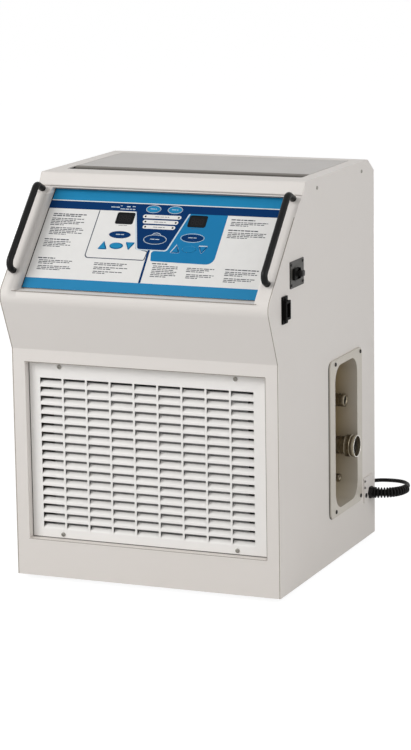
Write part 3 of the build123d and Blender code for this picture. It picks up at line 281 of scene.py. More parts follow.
plug_place = Matrix.Translation(tail_points[-1]) @ Matrix.Rotation(pi, 4, "Z")
plug_profile = [
    (-1, 3.6), (0, 4.4), (3.5, 4.7), (4, 4), (5, 4), (5.5, 5.4), (7.5, 6.2), (8, 5.5), (9, 5.6), (9.5, 7.3),
    (12.5, 9.8), (14.5, 11.8), (18, 12.6), (24, 12), (30, 11.6), (35, 12.1), (38, 12.8), (41, 12.8), (42, 12.2),
]
plug_body = skinned("plug_body", 50, turned(plug_profile, plug_place, steps=40))
blade_mesh = bmesh.new()
blade_reach, blade_thick, blade_width = 0.017, 0.0015, 0.0079
for side in (-0.00635, 0.00635):
    blade_place = plug_place @ Matrix.Translation((0.0415 + blade_reach / 2, side, 0.0025))
    blade_size = Matrix.Diagonal((blade_reach + 0.001, blade_thick, blade_width, 1))
    bmesh.ops.create_cube(blade_mesh, size=1.0, matrix=blade_place @ blade_size)
bmesh.ops.bevel(blade_mesh, geom=blade_mesh.edges[:], offset=0.0003, segments=2, affect="EDGES")
skin(blade_mesh, turned([(41, 2.2), (59, 2.2), (61.2, 1.7), (61.8, 0.9)],
                        plug_place @ Matrix.Translation((0, 0, -0.0075)), steps=24))
plug_blades = from_mesh("plug_blades", blade_mesh)
brass = mottled("plug_brass", (420, 4), ((0.62, 0.47, 0.24), (0.5, 0.38, 0.2)), (0.24, 0.42), metallic=1.0)

fit(mains_lead, rubber, "cord_rubber", "power_cord", "power_cord_coil")
fit(plug_body, rubber, "black_plastic", "power_plug")
fit(plug_blades, brass, "black_plastic")

# Strain relief, gland and bracket: a ribbed rubber sleeve bends with the lead out of a hexagonal plastic gland,
# which is held in a small painted bracket screwed on the cabinet's right rear corner.
relief_bend = 0.042
relief_start = Vector((0.238, 0.209, lead_points[0][2]))
relief_ribs = 13
relief_steps = 12 * relief_ribs
relief_sides = 36


def circle_round(centre, radius, aside, up, sides):
    """A ring of points round a centre, in the plane of two unit vectors."""
    angles = [2 * pi * k / sides for k in range(sides)]
    return [centre + radius * (cos(angle) * aside + sin(angle) * up) for angle in angles]


relief_rings = []
for step in range(relief_steps + 1):
    along = step / relief_steps
    turn = pi / 2 * along
    crest = 0.5 - 0.5 * cos(2 * pi * relief_ribs * along)
    radius = (0.0093 - 0.0018 * along) * (0.6 + 0.4 * min(1, crest * 1.4))
    centre = relief_start + relief_bend * Vector((sin(turn), 1 - cos(turn), 0))
    aside = Vector((-sin(turn), cos(turn), 0))
    relief_rings.append(circle_round(centre, radius, aside, Vector((0, 0, 1)), relief_sides))
fit(skinned("relief_sleeve", 60, relief_rings), rubber, "cord_rubber", "strain_relief")

moulded_black, place = new_finish("moulded_black", specular=0.16)
grain = place.noise(2600, 2)
feed(moulded_black, Base_Color=place.noise(60, 4).blend((0.008, 0.008, 0.008), (0.017, 0.016, 0.016)),
     Roughness=grain.level(0.34, 0.52), bump=(grain, 0.0002))
dress(moulded_black, "cord_gland")
bracket_face = 0.2305
bracket_heads = [turned([(0, 2.1 * size), (1, 2.1 * size), (1.6, 1.4 * size), (1.7, 0.8)],
                        Matrix.Translation((bracket_face, along, up)), steps=20)
                 for along, up, size in ((0.184, 0.108, 1.0), (0.1835, 0.097, 1.0), (0.1895, 0.0824, 1.9))]
fit(skinned("bracket_screw_heads", 40, *bracket_heads), moulded_black, "bracket_metal")

# Cabinet: folded steel sheets, screwed together at the flanges and powder-coated in one warm off-white, satin with
# a fine orange peel. The paint is a little greyer low down, where shoes and mops reach it, and the fold at the
# console's left is painted darker: painted shade.
powder, place = new_finish("cabinet_powder", specular=0.14)
height = place.axis("Z")
scuffs = place.noise(9, 5, 0.6)
low_down = height.ramp(0.3, 0.01)
worn = scuffs * 0.25 + low_down * 0.35
sideways = place.axis("X")
depth = place.axis("Y")
across = abs(sideways)
seam = (across > 0.2266) * (across < 0.2278) * (height < 0.6)
# Painted shade: the console's left fold is darkened where its wall faces away from the light.
fold = sideways.ramp(-0.218, -0.211)
foot = height.ramp(0.47, 0.485)
head = height.ramp(0.619, 0.6165)
painted_fold_shade = fold * foot * head * (sideways < -0.2) * (depth < 0.0)
unshaded_tone = worn.blend((0.735, 0.7, 0.668), (0.69, 0.645, 0.6))
feed(powder, Base_Color=seam.blend(painted_fold_shade.blend(unshaded_tone, (0.54, 0.515, 0.49)), (0.3, 0.265, 0.225)),
     Roughness=place.noise(30, 3).level(0.44, 0.58), bump=(place.noise(1100, 2), 0.0003))
dress(powder, "side_panel_left", "side_panel_right", "front_panel", "top_cover", "rear_panel", "gland_bracket")

galvanised, place = new_finish("galvanised_sheet", metallic=0.85)
spangle = place.node("ShaderNodeTexVoronoi", {"feature": "F1"}, {"Vector": place, "Scale": 90.0})
feed(galvanised, Base_Color=spangle.blend((0.46, 0.47, 0.48), (0.58, 0.59, 0.6)),
     Roughness=spangle.level(0.34, 0.52))
dress(galvanised, "base_pan", "equipment_shelf", "fan_shroud")

# Lid: a flat steel sheet with folded sides in a darker taupe finish, let into the top behind a finger slot. It
# turns on two short pins in the steel tray below it, where the two tanks are filled through screwed necks.
lid_paint = mottled("lid_paint", (14, 5, 0.6), ((0.56, 0.535, 0.515), (0.52, 0.5, 0.48)), (0.42, 0.56),
                    ((900, 2), 0.0003), specular=0.14)
dress(lid_paint, "lid")
tray_paint, place = new_finish("tray_paint", specular=0.3)
drips = place.noise(22, 5, 0.65)
# Painted shade: the tray goes near black towards its front, under the lid and in the finger slot.
painted_shade_under_lid = place.axis("Y").ramp(-0.006, 0.02)
steel = drips.blend((0.2, 0.2, 0.19), (0.29, 0.285, 0.27))
feed(tray_paint, Base_Color=painted_shade_under_lid.blend((0.035, 0.033, 0.03), steel), Roughness=drips.level(0.35, 0.6),
     bump=(place.noise(700, 2), 0.0003))
dress(tray_paint, "fill_well")
edge_rubber, place = new_finish("edge_rubber", specular=0.1)
wear = place.noise(120, 4)
# Painted light and shade: the trim is lighter along its top edge and darker lower down in the finger slot.
painted_light_on_top_edge = place.axis("Z").ramp(0.6445, 0.6492)
dark_tone = wear.blend((0.055, 0.05, 0.044), (0.085, 0.078, 0.07))
feed(edge_rubber, Base_Color=painted_light_on_top_edge.blend(dark_tone, (0.25, 0.235, 0.215)), Roughness=wear.level(0.6, 0.8),
     bump=(place.noise(900, 2), 0.0003))
lid_low, lid_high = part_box("lid")
trim_section = [
    (0.007, 0.0), (0.007, 0.0004), (0.0066, 0.0007), (0.0, 0.0007), (-0.0008, 0.0003), (-0.0012, -0.0006),
    (-0.0012, -0.0136), (-0.0008, -0.014), (0.0, -0.014), (0.0, -0.0002),
]
trim_rings = [[(x, lid_low[1] + y, lid_high[2] + z) for y, z in trim_section]
              for x in (lid_low[0] + 0.0005, lid_high[0] - 0.0005)]
fit(skinned("lid_edge_trim", 40, trim_rings), edge_rubber, "cap_plastic", body="lid")
pin_steel = mottled("pin_steel", (500, 3), ((0.56, 0.56, 0.55), (0.68, 0.67, 0.65)), (0.22, 0.38), metallic=1.0)
dress(pin_steel, "lid_hinges")

cap_profile = [
    (0, 20), (0, 26.2), (1.2, 26.8), (2.2, 26.8, 0.7), (11, 26.4, 0.7), (12.2, 26), (14.2, 24.6), (15, 22.5),
    (15, 19), (14.2, 18), (14.2, 6),
]
cap_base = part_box("filler_caps")[0][2]
caps = [turned(cap_profile, Matrix.Translation((x, 0.099, cap_base)) @ Matrix.Rotation(-pi / 2, 4, "Y"), steps=144,
               notch_steps=2) for x in (-0.098, 0.098)]
fit(skinned("filler_cap_pair", 35, *caps), moulded_black, "cap_plastic", "filler_caps")

# Air intake: one steel sheet with nine columns of seventeen punched louvres, each a tab that leans inwards from
# the foot of its window, powder-coated a touch lighter and held by four pan-head screws.
louvre_width, louvre_height = 0.0379, 0.011
louvre_pitch_x, louvre_pitch_z = 0.0412, 0.0148
louvre_columns, louvre_rows = 9, 17
grille_sheet = 0.0012
grille_front = -0.193
louvre_centre = Vector((-0.0023, grille_front, 0.209))
louvre_lean = radians(54)


def repeating_tree():
    """Geometry Nodes: one source object laid out in columns and rows on an upright plane, then turned about Z."""
    tree = bpy.data.node_groups.new("rows_and_columns", "GeometryNodeTree")
    tree.is_modifier = True
    for name, kind in (("Source", "Object"), ("Columns", "Int"), ("Rows", "Int"), ("Pitch Across", "Float"),
                       ("Pitch Up", "Float"), ("Middle", "Vector"), ("Turn", "Vector"), ("Size", "Float"),
                       ("Finish", "Material")):
        tree.interface.new_socket(name, in_out="INPUT", socket_type="NodeSocket" + kind)
    tree.interface.new_socket("Geometry", in_out="OUTPUT", socket_type="NodeSocketGeometry")
    given = {socket.name: Signal(tree, socket) for socket in tree.nodes.new("NodeGroupInput").outputs}

    def add(kind, **inputs):
        return given["Source"].node("GeometryNode" + kind, {}, {
            name.replace("_", " "): value for name, value in inputs.items()
        }, output="Geometry" if kind == "ObjectInfo" else 0)

    columns, rows = given["Columns"], given["Rows"]
    lattice = add("MeshGrid", Vertices_X=columns, Vertices_Y=rows, Size_X=(columns - 1) * given["Pitch Across"],
                  Size_Y=(rows - 1) * given["Pitch Up"])
    upright = add("Transform", Geometry=lattice, Rotation=(pi / 2, 0, 0))
    source = add("ObjectInfo", Object=given["Source"])
    copies = add("InstanceOnPoints", Points=upright, Instance=source, Scale=given["Size"])
    placed = add("Transform", Geometry=copies, Translation=given["Middle"], Rotation=given["Turn"])
    painted = add("SetMaterial", Geometry=add("RealizeInstances", Geometry=placed), Material=given["Finish"])
    tree.links.new(painted.socket, tree.nodes.new("NodeGroupOutput").inputs["Geometry"])
    return tree


rows_and_columns = repeating_tree()


def repeated(name, **values):
    """A plain mesh object made by the repeating tree, with its modifier gone."""
    holder = bpy.data.objects.new(name, bpy.data.meshes.new(name))
    scene.collection.objects.link(holder)
    modifier = holder.modifiers.new("rows_and_columns", "NODES")
    modifier.node_group = rows_and_columns
    sockets = {item.name: item.identifier for item in rows_and_columns.interface.items_tree if item.in_out == "INPUT"}
    for socket, value in values.items():
        modifier[sockets[socket.replace("_", " ")]] = value
    made = plain_mesh(holder, name)
    holder.modifiers.clear()
    holder.data = made
    return holder


def plain_mesh(source, name):
    """The evaluated mesh of an object, as a mesh of its own."""
    bpy.context.view_layer.update()
    graph = bpy.context.evaluated_depsgraph_get()
    mesh = bpy.data.meshes.new_from_object(source.evaluated_get(graph), depsgraph=graph)
    mesh.name = name
    return mesh


def rectangle(x0, x1, z0, z1):
    return [(x0, z0), (x1, z0), (x1, z1), (x0, z1)]


def strips(name, limits, front, depth, material, slot="grille_paint"):
    """A piece of closed upright strips, each between its limits in x and z, with their faces at y = front."""
    bodies = [[[(x, y, z) for x, z in rectangle(*strip)] for y in (front, front + depth)] for strip in limits]
    fit(skinned(name, 30, *bodies), material, slot)


# one louvre: its window's frame, drawn as four mitred strips, and its tab in section
cell = bmesh.new()
half_x, half_z = louvre_pitch_x / 2, louvre_pitch_z / 2
outer = rectangle(-half_x, half_x, -half_z, half_z)
half_x, half_z = louvre_width / 2, louvre_height / 2
inner = rectangle(-half_x, half_x, -half_z, half_z)
edge = 0.0003
eased = [(x + copysign(edge, x), z + copysign(edge, z)) for x, z in inner]
skin(cell, [[(x, y, z) for x, z in points] for points, y in (
    (outer, 0), (eased, 0), (inner, edge), (inner, grille_sheet), (outer, grille_sheet),
)], ends="open")
tab_foot = 0.0001 - half_z
tab_bend = 0.0022
tab_reach = 0.0071
tab_sheet = grille_sheet * 0.8
bend_steps = 4
facing = [(edge, -half_z)]
for step in range(1, bend_steps + 1):
    swing = louvre_lean * step / bend_steps
    facing.append((grille_sheet * 0.5 + tab_bend * (1 - cos(swing)), tab_foot + tab_bend * sin(swing)))
facing.append((facing[-1][0] + tab_reach * sin(louvre_lean), facing[-1][1] + tab_reach * cos(louvre_lean)))
backing = []
for number, (y, z) in enumerate(facing):
    lean = louvre_lean * min(number, bend_steps) / bend_steps
    backing.append((y + tab_sheet * cos(lean), z - tab_sheet * sin(lean)))
tab_half = half_x - 0.0002
skin(cell, [[(x, y, z) for y, z in facing + backing[::-1]] for x in (-tab_half, tab_half)])
louvre = from_mesh("louvre", cell, 30)

grille_powder = mottled("grille_powder", (12, 5, 0.6), ((0.87, 0.85, 0.825), (0.83, 0.81, 0.785)),
                        (0.38, 0.52), ((1100, 2), 0.0003), specular=0.14)
grille_field = repeated("grille_louvres", Source=louvre, Columns=louvre_columns, Rows=louvre_rows,
                        Pitch_Across=louvre_pitch_x, Pitch_Up=louvre_pitch_z, Middle=louvre_centre, Size=1.0,
                        Finish=grille_powder)
bpy.data.objects.remove(louvre)
grille_low, grille_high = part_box("intake_grille")
span_x = louvre_columns * louvre_pitch_x / 2
span_z = louvre_rows * louvre_pitch_z / 2
field_foot, field_head = louvre_centre.z - span_z, louvre_centre.z + span_z
seal_width = 0.0012
left_x, right_x = grille_low[0] + seal_width, grille_high[0] - seal_width
foot_z, head_z = grille_low[2] + seal_width, grille_high[2] - seal_width
fit(grille_field, grille_powder, "grille_paint", "intake_grille")
strips("grille_border", (
    (left_x, right_x, field_head, head_z), (left_x, right_x, foot_z, field_foot),
    (left_x, louvre_centre.x - span_x, field_foot, field_head),
    (louvre_centre.x + span_x, right_x, field_foot, field_head),
), grille_front, grille_sheet, grille_powder)
# Painted shade: a dark foam strip round the grille's edge stands for the shadow in the gap between grille and
# opening.
gap_shade_foam = mottled("painted_gap_shade", (900, 3), ((0.1, 0.095, 0.088), (0.17, 0.165, 0.155)), (0.8, 0.95),
               ((900, 3), 0.0003), specular=0.1)
strips("grille_seal", (
    (grille_low[0], left_x, grille_low[2], grille_high[2]), (right_x, grille_high[0], grille_low[2], grille_high[2]),
    (left_x, right_x, head_z, grille_high[2]), (left_x, right_x, grille_low[2], foot_z),
), grille_front + 0.0003, 0.0009, gap_shade_foam)
# Painted shade: a thin brown strip along the opening's top, right edge and foot stands for the shadowed edge of the
# folded sheet.
reveal_shadow_paint = mottled("reveal_bead", (300, 3), ((0.2, 0.178, 0.155), (0.27, 0.245, 0.215)), (0.6, 0.8), specular=0.1)
strips("reveal_bead", (
    (-0.2067, 0.2067, 0.3595, 0.3606), (0.206, 0.2067, 0.0688, 0.3595), (-0.2067, 0.2067, 0.0682, 0.0688),
), -0.2062, 0.0003, reveal_shadow_paint)

# Screws: pan heads with a cross recess, in plated steel and blackened on the hose recess. They hold the grille, the
# recess's flange, the rear panel and the top cover. One head is laid out in rows wherever a sheet is screwed on.
head_profile = [(0, 3.4), (0.6, 3.4), (1.1, 3.25), (1.5, 2.8), (1.75, 2.1), (1.8, 1.2)]
screw_head = skinned("screw_head", 40, turned(head_profile, Matrix.Rotation(-pi / 2, 4, "Z"), steps=24))
cross_mesh = bmesh.new()
for across, along in ((0.0007, 0.0036), (0.0036, 0.0007)):
    cut = Matrix.Translation((0, -0.0018, 0)) @ Matrix.Diagonal((across, 0.002, along, 1))
    bmesh.ops.create_cube(cross_mesh, size=1.0, matrix=cut)
screw_cross = from_mesh("screw_cross", cross_mesh)
recess = screw_head.modifiers.new("recess", "BOOLEAN")
recess.operation = "DIFFERENCE"
recess.solver = "EXACT"
recess.use_self = True
recess.object = screw_cross
screw_head.data = plain_mesh(screw_head, "screw_head")
screw_head.modifiers.clear()
bpy.data.objects.remove(screw_cross)
plated = mottled("plated_steel", (700, 3), ((0.2, 0.19, 0.17), (0.34, 0.33, 0.3)), (0.25, 0.42), metallic=1.0)
blackened = mottled("blackened_steel", (500, 3), ((0.012, 0.01, 0.009), (0.03, 0.026, 0.022)), (0.34, 0.5),
                    metallic=0.6)
side_face = 0.2285
for name, stands_for, columns, rows, across, up, middle, turn, size, finish in (
    ("grille_screw_heads", ["grille_screws"], 2, 2, 0.303, 0.2755, (0.0, grille_front, 0.21425), 0, 1.06, plated),
    ("tub_screw_heads", ["tub_screws"], 2, 2, 0.119, 0.246, (0.2315, 0.1005, 0.2125), pi / 2, 1.0, blackened),
    ("rear_screw_heads", ["cover_screws"], 2, 4, 0.432, 0.18537, (0.0, 0.244, 0.31755), pi, 0.88, plated),
    ("left_screw_heads", [], 2, 1, 0.209, 0.1, (-side_face, 0.0735, 0.633), -pi / 2, 0.88, plated),
    ("right_screw_heads", [], 2, 1, 0.209, 0.1, (side_face, 0.0735, 0.633), pi / 2, 0.88, plated),
):
    heads = repeated(name, Source=screw_head, Columns=columns, Rows=rows, Pitch_Across=across, Pitch_Up=up,
                     Middle=middle, Turn=(0, 0, turn), Size=size, Finish=finish)
    fit(heads, finish, "screw_steel", *stands_for)
bpy.data.objects.remove(screw_head)

# Control console: a printed polyester film on a white plate in the cabinet's sloping pocket. The print lies in flat
# layers with sharp edges, around openings for eleven raised keys and two tinted display windows.
slope = atan2(0.1429, 0.1368)
console = Matrix.Translation((0, -0.212975, 0.512)) @ Matrix.Rotation(slope, 4, "X") @ Matrix.Scale(0.001, 4)
film_level = -15.0
rim_level, field_level, sign_level, pill_level = (film_level + rise for rise in (0.05, 0.09, 0.13, 0.17))


def rounded(points, radii, steps=8):
    """Points of a polygon whose corners are rounded; radii is one number or one for each corner."""
    if not isinstance(radii, (list, tuple)):
        radii = [radii] * len(points)
    outline = []
    points = [Vector(point) for point in points]
    for number, (corner, radius) in enumerate(zip(points, radii)):
        if radius <= 0:
            outline.append(corner)
            continue
        before = (points[number - 1] - corner).normalized()
        after = (points[(number + 1) % len(points)] - corner).normalized()
        half = before.angle(after) / 2
        middle = corner + (before + after).normalized() * radius / sin(half)
        first, last = (corner + way * radius / tan(half) - middle for way in (before, after))
        sweep = first.angle(last)
        for step in range(steps + 1):
            share = step / steps
            spoke = (first * sin((1 - share) * sweep) + last * sin(share * sweep)) / sin(sweep)
            outline.append(middle + spoke)
    return [tuple(point) for point in outline]


def oval(x, s, width, height, grow=0.0, steps=56):
    return [(x + (width / 2 + grow) * cos(2 * pi * k / steps), s + (height / 2 + grow) * sin(2 * pi * k / steps))
            for k in range(steps)]


def box_shape(x0, x1, s0, s1, radius=0.0):
    return rounded(rectangle(x0, x1, s0, s1), radius)


def triangle(x, s, tip, grow=0.0):
    """A key's rounded triangle; tip is 1 where it points up the slope and -1 where it points down."""
    wide, high = 16.0 / 2 + grow * 1.9, 15.6 / 2
    return rounded([(x - wide, s - tip * (high + grow)), (x + wide, s - tip * (high + grow)),
                    (x, s + tip * (high + grow * 2.1))], 1.2 + grow)


def printed(name, outlines, level, depth, material, body="cabinet", slot="overlay_film"):
    """A closed flat piece on the film with the outlines as its edges and its holes, in the console's millimetres."""
    flat = bpy.data.curves.new(name, "CURVE")
    flat.dimensions = "2D"
    flat.fill_mode = "BOTH"
    flat.extrude = depth / 2
    for outline in outlines:
        line = flat.splines.new("POLY")
        line.points.add(len(outline) - 1)
        for point, spot in zip(line.points, outline):
            point.co = (*spot, 0, 1)
        line.use_cyclic_u = True
    holder = bpy.data.objects.new(name, flat)
    scene.collection.objects.link(holder)
    mesh = plain_mesh(holder, name)
    bpy.data.objects.remove(holder)
    mesh.transform(console @ Matrix.Translation((0, 0, level + depth / 2)))
    mesh.shade_flat()
    piece = bpy.data.objects.new(name, mesh)
    scene.collection.objects.link(piece)
    fit(piece, material, slot, body=body)


def film(name, colour, shine=0.42):
    """Ink under a satin polyester film."""
    material, place = new_finish(name, specular=0.05)
    ink = place.noise(70, 3)
    tooth = place.noise(5200, 2)
    deep = tuple(part * 0.93 for part in colour)
    feed(material, Base_Color=ink.blend(colour, deep), Roughness=tooth.level(shine, shine + 0.1),
         bump=(tooth, 0.00006))
    return material


white_film = film("film_white", (0.76, 0.75, 0.732))
teal_film = film("film_teal", (0.018, 0.228, 0.44))
navy_film = film("film_navy", (0.0013, 0.031, 0.122))
blue_film = film("film_blue", (0.014, 0.185, 0.395))
sky_film = film("film_sky", (0.026, 0.225, 0.44))
pale_film = film("film_pale", (0.56, 0.64, 0.7))
grey_film = film("film_grey", (0.075, 0.082, 0.095))
slate_film = film("film_slate", (0.055, 0.07, 0.105))
black_film = film("film_black", (0.008, 0.009, 0.01))
dress(white_film, "control_overlay")

zones = {"heat": -62.4, "cool": 62.4}
keys = {}
for (zone, middle), step_film in zip(zones.items(), (teal_film, blue_film)):
    keys[f"{zone}_key"] = (navy_film, "oval", middle, 83.6, 37.0, 13.5)
    keys[f"{zone}_up_key"] = (step_film, "up", middle - 22.5, 62.0)
    keys[f"{zone}_set_key"] = (step_film, "oval", middle, 62.0, 23.0, 12.0)
    keys[f"{zone}_down_key"] = (step_film, "down", middle + 22.5, 62.0)
keys["left_mode_key"] = (teal_film, "oval", -18.7, 135.5, 23.0, 12.0)
keys["right_mode_key"] = (teal_film, "oval", 18.7, 135.5, 23.0, 12.0)
keys["pump_key"] = (navy_film, "oval", 0.0, 77.5, 36.0, 15.0)
key_gap = 0.35


def key_shape(name, grow=0.0):
    _, kind, x, s, *size = keys[name]
    if kind == "oval":
        return oval(x, s, *size, grow)
    return triangle(x, s, 1 if kind == "up" else -1, grow)


cool_window = box_shape(zones["cool"] - 14.5, zones["cool"] + 14.5, 105.0, 126.0)
printed("print_top_band", [box_shape(-201, 201, 146.4, 168)], film_level, 0.05, teal_film)
printed("print_foot_band", [box_shape(-201, 201, -25.7, -6)], film_level, 0.05, sky_film)
cool_zone = rounded([(45.2, 129.6), (110.4, 129.6), (110.4, 35.0), (3.9, 36.2), (0.4, 52.3), (5.5, 57.5),
                     (23.8, 59.5)], [0, 1, 13, 3, 3, 3, 3])
cool_holes = [key_shape(name, key_gap) for name in keys if name.startswith("cool_")]
printed("print_cool_zone", [cool_zone, cool_window, *cool_holes], film_level, 0.05, blue_film)
heat_line = [(-111.3, 129), (-111.3, 36.3), (-7.2, 36.3), (-5.3, 54.8), (-26.7, 58.8), (-45.7, 129)]
inner_line = [(-109.7, 129), (-109.7, 37.9), (-8.7, 37.9), (-7.0, 53.4), (-28.1, 57.3), (-47.3, 129)]
heat_ring = rounded(heat_line, [0, 7, 3, 3, 5, 0]) + rounded(inner_line, [0, 6, 2, 2, 4, 0])[::-1]
printed("print_heat_outline", [heat_ring], film_level, 0.05, slate_film)
funnel_rim = rounded([(-49.2, 129.3), (-27.2, 55.8), (26.2, 55.8), (46.6, 129.3)], [0, 6, 6, 0])
funnel = rounded([(-201, 129.4), (-46.6, 129.4), (-25.0, 58.0), (24.0, 58.0), (44.2, 129.4), (201, 129.4),
                  (201, 144.6), (-201, 144.6)], [0, 2, 5, 5, 2, 0, 0, 0])
pump_hole = key_shape("pump_key", key_gap)
mode_holes = [key_shape(name, key_gap) for name in ("left_mode_key", "right_mode_key")]
printed("print_funnel_rim", [funnel_rim, pump_hole], rim_level, 0.04, pale_film)
printed("print_navy", [funnel, pump_hole, *mode_holes], field_level, 0.04, navy_film)
stem = [(-6.2, 57.0), (-5.0, -5.9), (-1.2, -5.9), (-2.4, 57.0)]
printed("print_stem", [stem], rim_level, 0.05, navy_film)
pills = []
dots = []
for s, half in ((121.0, 33.0), (111.0, 30.5), (101.0, 28.0)):
    pills.append(box_shape(-half, half, s - 3.6, s + 3.6, 3.59))
    dots += [oval(side * (half - 4.4), s, 3.4, 3.4, steps=24) for side in (-1, 1)]
hump = rounded([(-9.5, 84.9), (-5.0, 89.6), (0.0, 90.8), (5.0, 89.6), (9.5, 84.9)], [0, 2, 2, 2, 0])
hump += rounded([(-8.3, 84.9), (-4.4, 88.6), (0.0, 89.8), (4.4, 88.6), (8.3, 84.9)], [0, 2, 2, 2, 0])[::-1]
rings = []
for name, gap, stroke in (("pump_key", 1.0, 0.9), ("cool_key", 1.0, 0.8), ("left_mode_key", 0.6, 0.8),
                          ("right_mode_key", 0.6, 0.8)):
    rings += [key_shape(name, gap + stroke), key_shape(name, gap)]
printed("print_pills", pills, sign_level, 0.04, white_film)
printed("print_dots", dots, pill_level, 0.03, black_film)
printed("print_rings", rings, sign_level, 0.04, pale_film)
printed("print_hump", [hump], sign_level, 0.04, pale_film)


def text_bars(x, s, height, pitch, *widths):
    """A row of plain bars for each width, in place of print that can't be read, broken where words would end."""
    bars = []
    for row, width in enumerate(widths):
        start = x
        number = 0
        while start < x + width - 1.5:
            length = min((7.5, 4.2, 9.0, 5.6, 3.4, 6.8)[(number * 5 + row * 3) % 6], x + width - start)
            level = s - row * pitch
            bars.append(rectangle(start, start + length, level, level + height))
            start += length + 1.2
            number += 1
    return bars


for name, level, depth, ink, rows in (
    ("print_notes", film_level, 0.04, grey_film, (
        (-189, 117.5, 2.0, 3.4, 58, 50), (-189, 109.0, 1.5, 3.1, 56, 42, 58, 50, 24),
        (-186, 91.0, 1.5, 3.1, 54, 58, 46, 57, 30), (-190, 68.0, 2.0, 3.1, 44),
        (-189, 64.0, 1.5, 3.1, 46, 40, 47, 32), (-190, 31.5, 2.0, 3.1, 30), (-187, 27.5, 1.5, 3.1, 58, 54, 26),
        (-186, 16.5, 1.5, 3.1, 55, 58, 40), (-90, 27.0, 1.5, 3.1, 56, 50), (-89, 19.0, 1.5, 3.1, 58, 30),
        (-88, 11.0, 1.5, 3.1, 50, 22), (8, 31.0, 2.0, 3.1, 26), (11, 27.0, 1.5, 3.3, 42, 44, 36, 45, 40, 43, 28),
        (69, 26.0, 1.5, 3.1, 46, 40, 30), (71, 14.0, 1.5, 3.1, 46, 42, 20), (118, 121.0, 2.0, 3.1, 40),
        (119, 116.5, 1.5, 3.1, 62, 56, 30), (118, 101.0, 2.0, 3.1, 50), (119, 96.5, 1.5, 3.1, 66, 60, 64, 34),
        (133, 27.0, 1.9, 3.1, 56), (134, 22.5, 1.5, 3.1, 50, 54, 30), (135, 10.5, 1.5, 3.1, 52, 46, 20))),
    ("print_captions", pill_level, 0.03, grey_film, (
        (-70, 101.2, 0.8, 3.1, 15), (55, 101.2, 0.8, 3.1, 15), (-12, 120.5, 1.0, 3.1, 24), (-11, 110.5, 1.0, 3.1, 22),
        (-10, 100.5, 1.0, 3.1, 20))),
    ("print_signs", sign_level, 0.03, pale_film, (
        (-93, 135.6, 1.6, 3.1, 15), (-77, 138.6, 1.2, 3.1, 3), (-76, 132.6, 1.5, 3.1, 26), (-66, 137.2, 1.8, 3.1, 6),
        (-56, 138.0, 1.4, 3.1, 5))),
):
    printed(name, [bar for row in rows for bar in text_bars(*row)], level, depth, ink)

key_root, key_top = film_level - 1.6, film_level + 0.7


def domed(name, material):
    """An embossed key: a closed pad whose edge is eased in small steps up to a nearly flat top."""
    rings = [[console @ Vector((x, s, level)) for x, s in key_shape(name, -inset)] for inset, level in (
        (0.0, key_root), (0.0, key_top - 0.35), (0.12, key_top - 0.14), (0.38, key_top - 0.03), (1.1, key_top))]
    fit(skinned(name.replace("_key", "_pad"), 50, rings), material, "key_film", name, body=name)


for name, (material, *_) in keys.items():
    domed(name, material)
for name, *row in (
    ("heat_key", -69, 83.0, 1.3, 3.1, 14), ("cool_key", 55.5, 83.0, 1.3, 3.1, 14),
    ("pump_key", -8, 76.8, 1.4, 3.1, 16), ("left_mode_key", -24, 135.0, 1.0, 3.1, 11),
    ("right_mode_key", 13, 135.0, 1.0, 3.1, 11),
):
    printed(name.replace("_key", "_mark"), text_bars(*row), key_top, 0.03, pale_film, body=name, slot="key_film")
# Painted light and shade: on each step and set key, a dark rim inside its edge stands for shade and a pale stroke
# along one side for a highlight, so that it reads as embossed.
for name in ("cool_up_key", "cool_set_key", "cool_down_key", "heat_up_key", "heat_set_key", "heat_down_key"):
    printed(name.replace("_key", "_edge"), [key_shape(name, -0.4), key_shape(name, -1.2)], key_top, 0.03,
            teal_film if name == "cool_set_key" else navy_film, body=name, slot="key_film")
    _, kind, x, s, *size = keys[name]
    if kind == "up":
        stroke = [(x - 7.6, s - 7.4), (x - 6.0, s - 7.4), (x + 0.9, s + 6.4), (x - 0.2, s + 7.9)]
    elif kind == "down":
        stroke = [(x - 7.4, s + 7.6), (x - 6.6, s + 6.0), (x + 6.6, s + 6.0), (x + 7.4, s + 7.6)]
    else:
        stroke = oval(x, s, *size, -0.2)[12:26] + oval(x, s, *size, -1.3)[12:26][::-1]
    printed(name.replace("_key", "_gleam"), [stroke], key_top + 0.03, 0.03,
            pale_film if name in ("cool_up_key", "cool_down_key") else sky_film, body=name, slot="key_film")

window_tint = mottled("window_tint", (90, 4, 0.6), ((0.009, 0.01, 0.011), (0.014, 0.015, 0.017)),
                      (0.16, 0.3), specular=0.05)
dress(window_tint, "display_modules")
frames = []
for middle in zones.values():
    frames += [box_shape(middle - 15.5, middle + 15.5, 104.0, 127.0, 3.4),
               box_shape(middle - 13.6, middle + 13.6, 105.9, 125.1, 2.2)]
printed("display_frames", frames, film_level + 0.06, 0.05, black_film)
digit_ghost = film("digit_ghost", (0.022, 0.019, 0.021), 0.4)
segments = []
level_stroke, upright_stroke = (1.85, 0.45), (0.45, 1.95)
for middle in zones.values():
    for digit in (middle - 8.4, middle - 0.8, middle + 6.8):
        for x, s, (wide, high) in (
            (0, 5.0, level_stroke), (0, 0.0, level_stroke), (0, -5.0, level_stroke), (-2.4, 2.5, upright_stroke),
            (2.4, 2.5, upright_stroke), (-2.4, -2.5, upright_stroke), (2.4, -2.5, upright_stroke),
        ):
            mid_x, mid_s = digit + x, 115.5 + s
            segments.append(rectangle(mid_x - wide, mid_x + wide, mid_s - high, mid_s + high))
printed("display_digits", segments, film_level - 0.3, 0.03, digit_ghost, slot="display_black")
board, place = new_finish("circuit_board")
tracks = place.node("ShaderNodeTexVoronoi", {"feature": "F1", "distance": "CHEBYCHEV"},
                    {"Vector": place, "Scale": 240.0})
feed(board, Base_Color=tracks.blend((0.012, 0.085, 0.035), (0.03, 0.15, 0.065)), Roughness=tracks.level(0.3, 0.5))
dress(board, "control_board")
